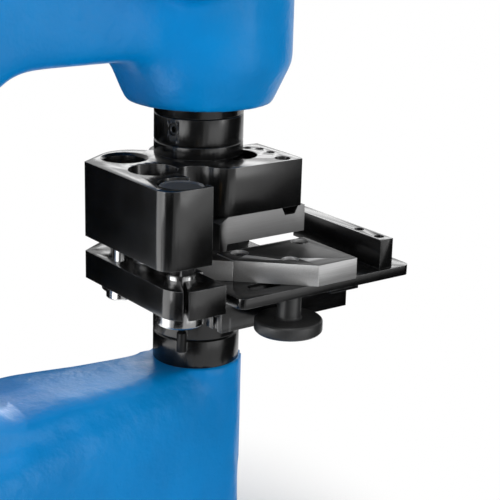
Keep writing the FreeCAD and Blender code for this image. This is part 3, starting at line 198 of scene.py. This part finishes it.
blackSteelLook = {
    "dark": 0.002,
    "light": 0.007,
    "milledLines": (90.0, 1400.0, 1400.0),
    "turnedLines": (14.0, 14.0, 1600.0),
    "grain": (1.0, 3.0, 0.6),
    "grainDepth": 0.000012,
    "grainRough": 0.08,
    "cloud": (60.0, 4.0, 0.6),
    "cloudRange": (0.3, 0.75),
    "smudge": (14.0, 3.0, 0.6),
    "smudgeRough": 0.12,
    "rub": (240.0, 2.0, 0.55),
    "rubRange": (0.3, 0.62),
    "rubAndHighlightShare": 0.75,
}
blackSteels = {
    "blackSteel": {"turned": False, "lift": 0.0, "rough": 0.12, "shine": 0.34, "rubAndHighlightRadius": 0.0007, "edge": 0.13},
    "knurledSteel": {"turned": True, "lift": 0.018, "rough": 0.3, "shine": 0.3, "rubAndHighlightRadius": 0.0007, "edge": 0.13},
    "turnedBlack": {"turned": True, "lift": 0.0, "rough": 0.13, "shine": 0.42, "rubAndHighlightRadius": 0.0007, "edge": 0.13},
    "darkPin": {"turned": False, "lift": 0.006, "rough": 0.3, "shine": 0.15, "rubAndHighlightRadius": 0.0007, "edge": 0.13},
    # the cap's light edges are rubbed wear and a painted highlight on its rim
    "rubbedAndHighlitCap": {"turned": True, "lift": 0.03, "rough": 0.26, "shine": 0.5, "rubAndHighlightRadius": 0.0009, "edge": 0.5},
}


def blackSteel(name):
    # blackened steel: machining lines under a dark oxide; its edges are lighter, partly the oxide rubbed thin
    # and partly a painted highlight
    look = blackSteelLook
    own = blackSteels[name]
    f = Finish(name)
    lines = f.coords(look["turnedLines"] if own["turned"] else look["milledLines"])
    where = f.coords()
    grain = f.noise(lines, *look["grain"])
    cloud = f.noise(where, *look["cloud"])
    smudge = f.noise(where, *look["smudge"])
    # edge tone: rubbed wear of the oxide together with a painted highlight on the sharp edges, broken up by
    # noise
    rubbed = f.edges(own["rubAndHighlightRadius"]) * f.noise(where, *look["rub"]).step(*look["rubRange"])
    dark = grey(look["dark"] + own["lift"])
    light = grey(look["light"] + own["lift"], -0.04)
    tone = f.blend(cloud.step(*look["cloudRange"]), dark, light)
    tone = f.blend(rubbed * look["rubAndHighlightShare"], tone, grey(own["edge"], -0.02))
    rough = own["rough"] + look["smudgeRough"] * smudge + look["grainRough"] * grain
    normal = f.bump(grain, look["grainDepth"])
    return f.surface(Base_Color=tone, Roughness=rough, Normal=normal, Specular_IOR_Level=own["shine"])


groundSteelLook = {
    "lines": (40.0, 2600.0, 2600.0),
    "grain": (1.0, 2.0, 0.7),
    "grainRange": (0.25, 0.75),
    "grainShare": 0.6,
    "grainRough": 0.2,
    "grainDepth": 0.00002,
    "cloud": (85.0, 4.0, 0.65),
    "cloudShare": 0.4,
    "stain": (30.0, 3.0, 0.6),
    "stainRange": (0.45, 0.8),
    "stainShare": 0.35,
    "stainLevel": 0.6,
    "edgeRadius": 0.0004,
    "edgeShare": 0.6,
}
groundSteels = {
    "groundBlade": {
        "low": 0.15,
        "high": 0.20,
        "edge": 0.30,
        "black": 0.02,
        "groundAxis": "Y",
        "paintedShadeAxis": None,
        "rough": 0.42,
        "metal": 0.6,
        "shine": 0.5,
    },
    # knife: painted shade, black, on its faces square to z
    "darkKnife": {
        "low": 0.26,
        "high": 0.36,
        "edge": 0.54,
        "black": 0.006,
        "groundAxis": None,
        "paintedShadeAxis": "Z",
        "rough": 0.38,
        "metal": 0.7,
        "shine": 0.12,
    },
}


def groundSteel(name):
    # surface-ground steel: fine straight scratches along x and small stains, and a painted highlight on the
    # sharp edges;
    # faces square to the ground axis are bright and the others black, or those square to the shade axis get
    # painted shade
    look = groundSteelLook
    own = groundSteels[name]
    f = Finish(name)
    lines = f.coords(look["lines"])
    where = f.coords()
    grain = f.noise(lines, *look["grain"])
    cloud = f.noise(where, *look["cloud"])
    stain = f.noise(where, *look["stain"]).step(*look["stainRange"])
    mottle = grain.step(*look["grainRange"]) * look["grainShare"] + cloud * look["cloudShare"]
    tone = f.blend(mottle, grey(own["low"], 0.01), grey(own["high"], -0.01))
    tone = f.blend(stain * look["stainShare"], tone, grey(own["low"] * look["stainLevel"], 0.06))
    metal = own["metal"]
    if own["groundAxis"]:
        tone = f.blend(f.facing(own["groundAxis"]), grey(own["black"]), tone)
    if own["paintedShadeAxis"]:
        # painted shade: faces square to this axis, the knife's top and bottom, made black and not metallic
        black = f.facing(own["paintedShadeAxis"])
        tone = f.blend(black, tone, grey(own["black"]))
        metal = metal - metal * black
    # painted highlight: a light grey laid on the sharp edges
    tone = f.blend(f.edges(look["edgeRadius"]) * look["edgeShare"], tone, grey(own["edge"]))
    return f.surface(
        Base_Color=tone,
        Metallic=metal,
        Roughness=own["rough"] + look["grainRough"] * grain,
        Normal=f.bump(grain, look["grainDepth"]),
        Specular_IOR_Level=own["shine"],
    )


turnedSteelLook = {
    "lines": (30.0, 30.0, 2400.0),
    "rings": (1.0, 2.0, 0.6),
    "ringRough": 0.08,
    "ringDepth": 0.000008,
    "film": (70.0, 3.0, 0.6),
    "filmLevel": 0.82,
}
turnedSteels = {
    "polishedRod": {"level": 0.30, "rough": 0.16},
    "springWire": {"level": 0.16, "rough": 0.26},
}


def turnedSteel(name):
    # bright turned or polished rod: faint rings round its axis under a thin film
    look = turnedSteelLook
    own = turnedSteels[name]
    f = Finish(name)
    rings = f.noise(f.coords(look["lines"]), *look["rings"])
    film = f.noise(f.coords(), *look["film"])
    tone = f.blend(film, grey(own["level"] * look["filmLevel"], 0.01), grey(own["level"], -0.01))
    rough = own["rough"] + look["ringRough"] * rings
    return f.surface(Base_Color=tone, Metallic=1.0, Roughness=rough, Normal=f.bump(rings, look["ringDepth"]))


bronzeLook = {
    "dull": (0.30, 0.17, 0.06, 1.0),
    "rubbed": (0.52, 0.33, 0.14, 1.0),
    "pores": (1800.0, 2.0, 0.6),
    "poreRange": (0.35, 0.6),
    "poreRough": 0.2,
    "poreDepth": 0.00003,
    "cloud": (120.0, 3.0, 0.6),
    "rough": 0.34,
}


def bronze():
    # sintered bronze bush: fine pores and a dull rubbed tone
    look = bronzeLook
    f = Finish("bronze")
    where = f.coords()
    pores = f.noise(where, *look["pores"]).step(*look["poreRange"])
    cloud = f.noise(where, *look["cloud"])
    tone = f.blend(cloud, look["dull"], look["rubbed"])
    rough = look["rough"] + look["poreRough"] * (1.0 - pores)
    return f.surface(Base_Color=tone, Metallic=1.0, Roughness=rough, Normal=f.bump(pores, look["poreDepth"]))


gripLook = {
    "dark": 0.010,
    "light": 0.022,
    "grain": (1500.0, 3.0, 0.6),
    "grainDepth": 0.00006,
    "wear": (38.0, 3.0, 0.6),
    "wearRough": 0.2,
    "rough": 0.42,
}


def gripPlastic():
    # moulded grip: fine spark-eroded grain, handled unevenly
    look = gripLook
    f = Finish("gripPlastic")
    where = f.coords()
    grain = f.noise(where, *look["grain"])
    wear = f.noise(where, *look["wear"])
    tone = f.blend(wear, grey(look["dark"]), grey(look["light"]))
    rough = look["rough"] + look["wearRough"] * wear
    return f.surface(Base_Color=tone, Roughness=rough, Normal=f.bump(grain, look["grainDepth"]))


finishes = {
    "blue_paint": bluePaint(),
    "black_steel": blackSteel("blackSteel"),
    "bright_steel": groundSteel("groundBlade"),
    "polished_steel": turnedSteel("polishedRod"),
    "dark_knife": groundSteel("darkKnife"),
    "bronze": bronze(),
    "dark_knurl": blackSteel("knurledSteel"),
    "black_plastic": gripPlastic(),
    "spring_steel": turnedSteel("springWire"),
}

# nodes that look other than their slot
turnedBlack = blackSteel("turnedBlack")
ownFinish = {
    "lower_insert": turnedBlack,
    "tool_spigot": turnedBlack,
    "ram": turnedBlack,
    "ram_socket": turnedBlack,
    "tool_shank": turnedBlack,
    "stop_collar": turnedBlack,
    "shaft_collar": turnedBlack,
    "locating_pin": blackSteel("darkPin"),
    "stop_fence": finishes["black_steel"],
}
# finish of the front bore's cap: its rim edges painted light, rubbed wear and a painted highlight together
rubbedAndHighlitCap = blackSteel("rubbedAndHighlitCap")
print("finishes written")


# carried-over pieces

mergeGap = 0.000002
edgeBreak = {"width": 0.00035, "segments": 2, "angle": math.radians(32)}


def breakEdges(piece, look):
    # joins coincident points and breaks the sharp edges, as modifiers only
    weld = piece.modifiers.new("weld", "WELD")
    weld.merge_threshold = mergeGap
    bevel = piece.modifiers.new("edgeBreak", "BEVEL")
    bevel.width = look["width"]
    bevel.segments = look["segments"]
    bevel.limit_method = "ANGLE"
    bevel.angle_limit = look["angle"]
    bevel.harden_normals = True


def smoothFaces(mesh):
    mesh.polygons.foreach_set("use_smooth", [True] * len(mesh.polygons))


def dressNode(name):
    node = frame["nodes"][name]
    node.data.materials.clear()
    node.data.materials.append(ownFinish.get(name, finishes[slotOf[name]]))
    smoothFaces(node.data)
    breakEdges(node, edgeBreak)


def meshObject(name, points, faces, material):
    # an object at the origin from arrays of points and faces, in the frame's metres
    mesh = bpy.data.meshes.new(name)
    mesh.from_pydata(np.asarray(points, float).tolist(), [], np.asarray(faces).tolist())
    mesh.validate()
    mesh.materials.append(material)
    made = bpy.data.objects.new(name, mesh)
    bpy.context.scene.collection.objects.link(made)
    return made


for name in frame["nodes"]:
    dressNode(name)
print("nodes dressed")


# cap over the front pillar's bore; its profile is the share of the radius and the depth below the cap's top

capLook = {
    "sides": 96,
    "profile": [
        (0.0, 0.0006),
        (0.70, 0.0006),
        (0.80, 0.0006),
        (0.86, 0.0),
        (0.90, 0.0),
        (0.94, 0.0007),
        (0.94, 0.0030),
        (0.0, 0.0030),
    ],
    "edgeBreak": {"width": 0.0002, "segments": 2, "angle": math.radians(30)},
}


def dishedCap(look):
    # revolved disc with a dished face and a raised rim: radius = share * R, height = top - depth
    node = frame["nodes"]["bore_cap"]
    corners = np.array([node.matrix_world @ Vector(corner) for corner in node.bound_box])
    low, high = corners.min(axis=0), corners.max(axis=0)
    centre = (low + high) / 2
    share, depth = np.array(look["profile"]).T
    radius = share * (high[0] - low[0]) / 2
    turn = np.linspace(0, 2 * np.pi, look["sides"], endpoint=False)
    rings = np.zeros((len(radius), len(turn), 3))
    rings[:, :, 0] = centre[0] + radius[:, None] * np.cos(turn)
    rings[:, :, 1] = centre[1] + radius[:, None] * np.sin(turn)
    rings[:, :, 2] = (high[2] - depth)[:, None]
    row, step = np.meshgrid(np.arange(len(radius) - 1), np.arange(len(turn)), indexing="ij")
    after = (step + 1) % len(turn)
    faces = np.stack([row, row + 1, row + 1, row]) * len(turn) + np.stack([step, step, after, after])
    piece = meshObject("boreCap", rings.reshape(-1, 3), faces.reshape(4, -1).T, rubbedAndHighlitCap)
    smoothFaces(piece.data)
    breakEdges(piece, look["edgeBreak"])
    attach(piece, bodyOf["bore_cap"])
    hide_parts("bore_cap")


dishedCap(capLook)
print("cap made")


# casting

gearPlace = (-0.0297, 0.350)
castingLook = {"voxel": 0.0022, "rounds": 70, "pull": 0.5}

# deck of the lower arm: place along x, half width and height of its top at each station
fairingLook = {
    "stations": [
        (-0.055, 0.0240, 0.1293),
        (-0.069, 0.0260, 0.1302),
        (-0.084, 0.0275, 0.1310),
        (-0.100, 0.0290, 0.1319),
        (-0.130, 0.0325, 0.1330),
        (-0.165, 0.0365, 0.1335),
        (-0.205, 0.0400, 0.1335),
    ],
    "flatShare": 0.90,
    "fall": 0.0035,
    "bottom": 0.080,
}


def addFairing(mesh, look):
    # deck carried on beside the column: a six-sided box whose half width and top follow the stations in x
    work = bmesh.new()
    work.from_mesh(mesh)
    x, half, top = np.array(look["stations"]).T
    flat = look["flatShare"]
    rings = np.zeros((len(x), 6, 3))
    rings[:, :, 0] = x[:, None]
    rings[:, :, 1] = half[:, None] * np.array([1, 1, flat, -flat, -1, -1])
    rings[:, :, 2] = look["bottom"]
    rings[:, [1, 4], 2] = top[:, None] - look["fall"]
    rings[:, [2, 3], 2] = top[:, None]
    made = [[work.verts.new(point) for point in ring] for ring in rings]
    for low, high in zip(made, made[1:]):
        for index in range(6):
            other = (index + 1) % 6
            work.faces.new((low[index], high[index], high[other], low[other]))
    work.faces.new(made[0])
    work.faces.new(made[-1][::-1])
    work.to_mesh(mesh)
    work.free()


cornerLook = {
    "centre": (-0.094, 0.164),
    "round": 0.034,
    "tight": 0.012,
    "reach": 0.070,
    "slack": 0.003,
    "flatHalf": 0.026,
    "halfWide": 0.034,
}


def rise(values, low, high):
    # smooth rise from 0 at low to 1 at high
    share = np.clip((values - low) / (high - low), 0, 1)
    return share * share * (3 - 2 * share)


def tightCorner(points, look):
    # the throat's lower corner drawn out from its round to a tighter one: each point moves away from the
    # round's centre in proportion to how far the tight profile lies beyond the round in its direction
    x, y, z = points.T
    tiny = 1e-9
    across = x - look["centre"][0]
    down = z - look["centre"][1]
    radius = np.hypot(across, down)
    inside = (across < 0) & (down < 0) & (radius > look["round"] - look["slack"]) & (radius < look["reach"])
    inside &= np.abs(y) < look["halfWide"]
    ahead = -across / np.maximum(radius, tiny)
    below = -down / np.maximum(radius, tiny)
    steeper = np.maximum(np.maximum(ahead, below), tiny)
    square = look["round"] / steeper
    inner = look["round"] - look["tight"]
    along = (ahead + below) * inner
    arc = along + np.sqrt(np.maximum(along**2 - 2 * inner**2 + look["tight"] ** 2, 0))
    ratio = np.minimum(ahead, below) / steeper
    profile = np.where(ratio > inner / look["round"], arc, square)
    fade = np.clip((look["reach"] - radius) / (look["reach"] - look["round"]), 0, 1)
    fade *= 1 - rise(np.abs(y), look["flatHalf"], look["halfWide"])
    push = (profile - look["round"]) * fade * inside
    moved = points.copy()
    moved[:, 0] -= ahead * push
    moved[:, 2] -= below * push
    return moved


machinedLook = {
    "armHigh": 0.116,
    "armShare": 0.45,
    "headRadius": 0.056,
    "headLow": 0.255,
    "coneSpan": (0.271, 0.287),
    "coneShare": 0.05,
    "frontSpan": (-0.034, 0.002),
    "frontHold": 0.9,
    "upperHigh": 0.30,
    "upperShare": 0.5,
    "boreRadius": 0.0243,
    "boreLow": 0.07,
    "rimRadius": 0.030,
    "rimSpan": (0.1275, 0.135),
    "rimShare": 0.1,
    "footFace": 0.0016,
    "shaftRadius": 0.021,
    "cheekHalf": 0.0455,
    "cheekRadius": 0.034,
}


def machined(points, look):
    # how freely each point moves: 0 on bores and seats, little on crisp rims, 1 on the foot and low column
    x, y, z = points.T
    axis = np.hypot(x, y)
    shaft = np.hypot(x - gearPlace[0], z - gearPlace[1])
    head = (axis < look["headRadius"]) & (z > look["headLow"])
    cone = look["coneShare"] + (1 - look["coneShare"]) * rise(z, *look["coneSpan"])
    front = 1 - look["frontHold"] * rise(x, *look["frontSpan"])
    held = np.ones(len(points))
    held[z > look["armHigh"]] = look["armShare"]
    held[head] = (cone * front)[head]
    held[(z > look["upperHigh"]) & ~head] = look["upperShare"]
    held[(axis < look["boreRadius"]) & (z > look["boreLow"])] = 0.0
    rimLow, rimHigh = look["rimSpan"]
    held[(axis < look["rimRadius"]) & (z > rimLow) & (z < rimHigh)] *= look["rimShare"]
    held[z < look["footFace"]] = 0.0
    cheek = (np.abs(y) > look["cheekHalf"]) & (shaft < look["cheekRadius"])
    held[(shaft < look["shaftRadius"]) | cheek] = 0.0
    return held


def softCasting(look):
    # voxel copy of the casting, its junctions rounded: each round moves every point towards the mean of its
    # neighbours by pull times how freely it moves
    mesh = frame["nodes"]["frame_casting"].data.copy()
    addFairing(mesh, fairingLook)
    piece = bpy.data.objects.new("castingBody", mesh)
    bpy.context.scene.collection.objects.link(piece)
    weld = piece.modifiers.new("weld", "WELD")
    weld.merge_threshold = mergeGap
    remesh = piece.modifiers.new("remesh", "REMESH")
    remesh.mode = "VOXEL"
    remesh.voxel_size = look["voxel"]
    remesh.use_smooth_shade = True
    graph = bpy.context.evaluated_depsgraph_get()
    made = bpy.data.meshes.new_from_object(piece.evaluated_get(graph))
    piece.modifiers.clear()
    piece.data = made
    count = len(made.vertices)
    points = np.zeros(count * 3)
    made.vertices.foreach_get("co", points)
    points = tightCorner(points.reshape(-1, 3), cornerLook)
    links = np.zeros(len(made.edges) * 2, int)
    made.edges.foreach_get("vertices", links)
    first, second = links.reshape(-1, 2).T
    degree = np.bincount(first, minlength=count) + np.bincount(second, minlength=count)
    pull = look["pull"] * machined(points, machinedLook)[:, None]
    for _ in range(look["rounds"]):
        total = np.zeros_like(points)
        for axis in range(3):
            total[:, axis] += np.bincount(first, points[second, axis], count)
            total[:, axis] += np.bincount(second, points[first, axis], count)
        points += (total / degree[:, None] - points) * pull
    made.vertices.foreach_set("co", points.ravel())
    made.update()
    made.materials.clear()
    made.materials.append(finishes["blue_paint"])
    smoothFaces(made)
    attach(piece, bodyOf["frame_casting"])
    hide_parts("frame_casting")


softCasting(castingLook)
print("casting smoothed")


# camera

cameraLook = {
    "place": (-0.386716, -0.568554, 0.397475),
    "yaw": 53.5016,
    "pitch": 17.0065,
    "roll": 1.4468,
    "focalPixels": 1395.552,
    "framePixels": 500,
    "sensor": 36,
    "clip": (0.02, 20),
}


def makeCamera(look):
    # forward from yaw and pitch, then the picture's own small roll; lens = focal length in frames * sensor
    yaw, pitch, roll = (math.radians(look[key]) for key in ("yaw", "pitch", "roll"))
    ahead = Vector((math.cos(yaw) * math.cos(pitch), math.sin(yaw) * math.cos(pitch), -math.sin(pitch)))
    right = ahead.cross(Vector((0, 0, 1))).normalized()
    up = right.cross(ahead)
    across = right * math.cos(roll) + up * math.sin(roll)
    above = up * math.cos(roll) - right * math.sin(roll)
    turn = Matrix((across, above, -ahead)).transposed().to_4x4()
    camera = bpy.data.objects.new("camera", bpy.data.cameras.new("camera"))
    bpy.context.scene.collection.objects.link(camera)
    camera.matrix_world = Matrix.Translation(look["place"]) @ turn
    camera.data.lens = look["focalPixels"] / look["framePixels"] * look["sensor"]
    camera.data.sensor_width = look["sensor"]
    camera.data.clip_start, camera.data.clip_end = look["clip"]
    bpy.context.scene.camera = camera


# lamps

lampLook = [
    {"name": "leftStrip", "place": (-1.30, -0.04, 0.46), "wide": 0.34, "tall": 0.88, "power": 10.0},
    {"name": "rightStrip", "place": (0.56, -1.17, 0.46), "wide": 0.24, "tall": 0.88, "power": 5.0},
    {"name": "topSoft", "place": (-0.5, -0.2, 1.7), "wide": 1.2, "tall": 1.2, "power": 9.0},
    {"name": "backSoft", "place": (1.1, 1.2, 0.9), "wide": 0.9, "tall": 0.9, "power": 7.0},
]
aimLook = {"base": 0.2, "part": 3}


def makeLamps(looks):
    # two narrow upright panels for the bands on round parts and two soft ones for the rest, each aimed at the
    # tool's axis at the lesser of its own height and base + height / part
    for look in looks:
        data = bpy.data.lights.new(look["name"], "AREA")
        data.shape = "RECTANGLE"
        data.size = look["wide"]
        data.size_y = look["tall"]
        data.energy = look["power"]
        lamp = bpy.data.objects.new(look["name"], data)
        lamp.location = look["place"]
        height = look["place"][2]
        aim = min(height, aimLook["base"] + height / aimLook["part"])
        ray = Vector((0.0, 0.0, aim)) - Vector(look["place"])
        lamp.rotation_euler = ray.to_track_quat("-Z", "Y").to_euler()
        bpy.context.scene.collection.objects.link(lamp)


# world and floor

worldLook = {"light": 0.5, "seen": 1.0}
white = (1.0, 1.0, 1.0, 1.0)


def makeWorld(look):
    # white for the eye and for reflections, a plain grey level for light
    world = bpy.data.worlds.new("studio")
    bpy.context.scene.world = world
    world.use_nodes = True
    tree = world.node_tree
    tree.nodes.clear()
    path = tree.nodes.new("ShaderNodeLightPath")
    seen = tree.nodes.new("ShaderNodeMath")
    seen.operation = "MAXIMUM"
    tree.links.new(path.outputs["Is Camera Ray"], seen.inputs[0])
    tree.links.new(path.outputs["Is Glossy Ray"], seen.inputs[1])
    level = tree.nodes.new("ShaderNodeMapRange")
    level.inputs["To Min"].default_value = look["light"]
    level.inputs["To Max"].default_value = look["seen"]
    tree.links.new(seen.outputs[0], level.inputs["Value"])
    back = tree.nodes.new("ShaderNodeBackground")
    back.inputs["Color"].default_value = white
    tree.links.new(level.outputs[0], back.inputs["Strength"])
    out = tree.nodes.new("ShaderNodeOutputWorld")
    tree.links.new(back.outputs[0], out.inputs["Surface"])


floorLook = {
    "size": 6.0,
    "tones": (0.86, 0.90),
    "cloud": (6.0, 2.0, 0.55),
    "rough": 0.7,
    "toCentre": (0.1, 0.0, 0.0),
    "footHalf": (0.152, 0.080, 0.0),
    "fade": (0.0, 0.11),
}


def makeFloor(look):
    # pale floor that keeps the object's shadow and goes white with the distance from the foot's rectangle:
    # the length of max(abs(place - centre) - half size, 0)
    f = Finish("paleFloor")
    where = f.node("TexCoord", out="Object")
    cloud = f.noise(where, *look["cloud"])
    off = f.node("VectorMath", {"operation": "ADD"}, {0: where, 1: look["toCentre"]})
    off = f.node("VectorMath", {"operation": "ABSOLUTE"}, {0: off})
    off = f.node("VectorMath", {"operation": "SUBTRACT"}, {0: off, 1: look["footHalf"]})
    off = f.node("VectorMath", {"operation": "MAXIMUM"}, {0: off, 1: (0.0, 0.0, 0.0)})
    away = f.node("VectorMath", {"operation": "LENGTH"}, {0: off}, out="Value").step(*look["fade"])
    low, high = look["tones"]
    tone = f.blend(cloud, grey(low), grey(high))
    glossy = f.node("LightPath", out="Is Glossy Ray")
    seen = f.node("LightPath", out="Is Camera Ray").maths("MAXIMUM", glossy)
    shader = f.node("BsdfPrincipled", {}, {"Base Color": tone, "Roughness": look["rough"]})
    glow = f.node("Emission", {}, {"Color": white, "Strength": 1.0})
    both = f.node("MixShader", {}, {0: seen * away, 1: shader, 2: glow})
    f.node("OutputMaterial", {}, {"Surface": both})
    size = look["size"]
    points = [(-size, -size, 0), (size, -size, 0), (size, size, 0), (-size, size, 0)]
    floor = meshObject("floor", points, [(0, 1, 2, 3)], f.material)


# studio flags and panels that only reflections show

cardLook = {
    "steps": 25,
    "lift": 0.001,
    "tone": 0.004,
    "cards": [
        {"name": "cardBehind", "radius": 0.60, "inner": 0.30, "turn": (66, 152), "top": 0.26},
        {"name": "cardAhead", "radius": 0.50, "inner": 0.30, "turn": (207, 246), "top": 0.34},
        {"name": "cardRight", "radius": 0.60, "inner": 0.18, "turn": (308, 366), "top": 0.42},
    ],
}

# each panel by one corner and the two sides that leave it
glowLook = [
    {
        "name": "glowThroat",
        "level": 5.0,
        "corner": (-0.112, -0.060, 0.130),
        "sideA": (0.0, 0.054, 0.0),
        "sideB": (0.0, 0.0, 0.132),
    },
    {
        "name": "glowRight",
        "level": 2.3,
        "corner": (-0.077, -0.545, 0.0),
        "sideA": (0.352, 0.069, 0.0),
        "sideB": (0.0, 0.0, 0.250),
    },
    {
        "name": "glowDeck",
        "level": 2.8,
        "corner": (-0.110, -0.030, 0.1345),
        "sideA": (0.076, 0.0, 0.0),
        "sideB": (0.0, 0.040, 0.0),
    },
]


def reflectedOnly(panel):
    # shown by reflections, never to the camera, and neither lights nor shades the object
    panel.visible_camera = False
    panel.visible_diffuse = False
    panel.visible_shadow = False


def makeCards(look):
    # black flags: a strip of floor and an upright wall, both bent to part of a circle round the tool
    f = Finish("blackCard")
    inputs = {"Base Color": grey(look["tone"]), "Roughness": 1.0, "Specular IOR Level": 0.0}
    f.node("OutputMaterial", {}, {"Surface": f.node("BsdfPrincipled", {}, inputs)})
    count = look["steps"]
    foot = np.full(count, look["lift"])
    steps = np.arange(count - 1)
    faces = np.stack([steps, steps + 1, steps + 1 + count, steps + count], axis=1)
    faces = np.vstack([faces, faces + count])
    for card in look["cards"]:
        turn = np.radians(np.linspace(*card["turn"], count))
        ring = np.stack([card["radius"] * np.cos(turn), card["radius"] * np.sin(turn)], axis=1)
        inner = np.column_stack([ring * card["inner"] / card["radius"], foot])
        low = np.column_stack([ring, foot])
        high = np.column_stack([ring, np.full(count, card["top"])])
        reflectedOnly(meshObject(card["name"], np.vstack([inner, low, high]), faces, f.material))


def makeGlow(looks):
    # flat bright panels: corner, corner + A, corner + A + B, corner + B
    for look in looks:
        f = Finish(look["name"])
        glow = f.node("Emission", {}, {"Color": white, "Strength": look["level"]})
        f.node("OutputMaterial", {}, {"Surface": glow})
        corner, sideA, sideB = (np.array(look[key]) for key in ("corner", "sideA", "sideB"))
        points = [corner, corner + sideA, corner + sideA + sideB, corner + sideB]
        reflectedOnly(meshObject(look["name"], points, [(0, 1, 2, 3)], f.material))


makeCamera(cameraLook)
makeCards(cardLook)
makeGlow(glowLook)
makeLamps(lampLook)
makeWorld(worldLook)
makeFloor(floorLook)
bpy.context.scene.view_settings.view_transform = "Standard"
print("camera, lamps and floor set")
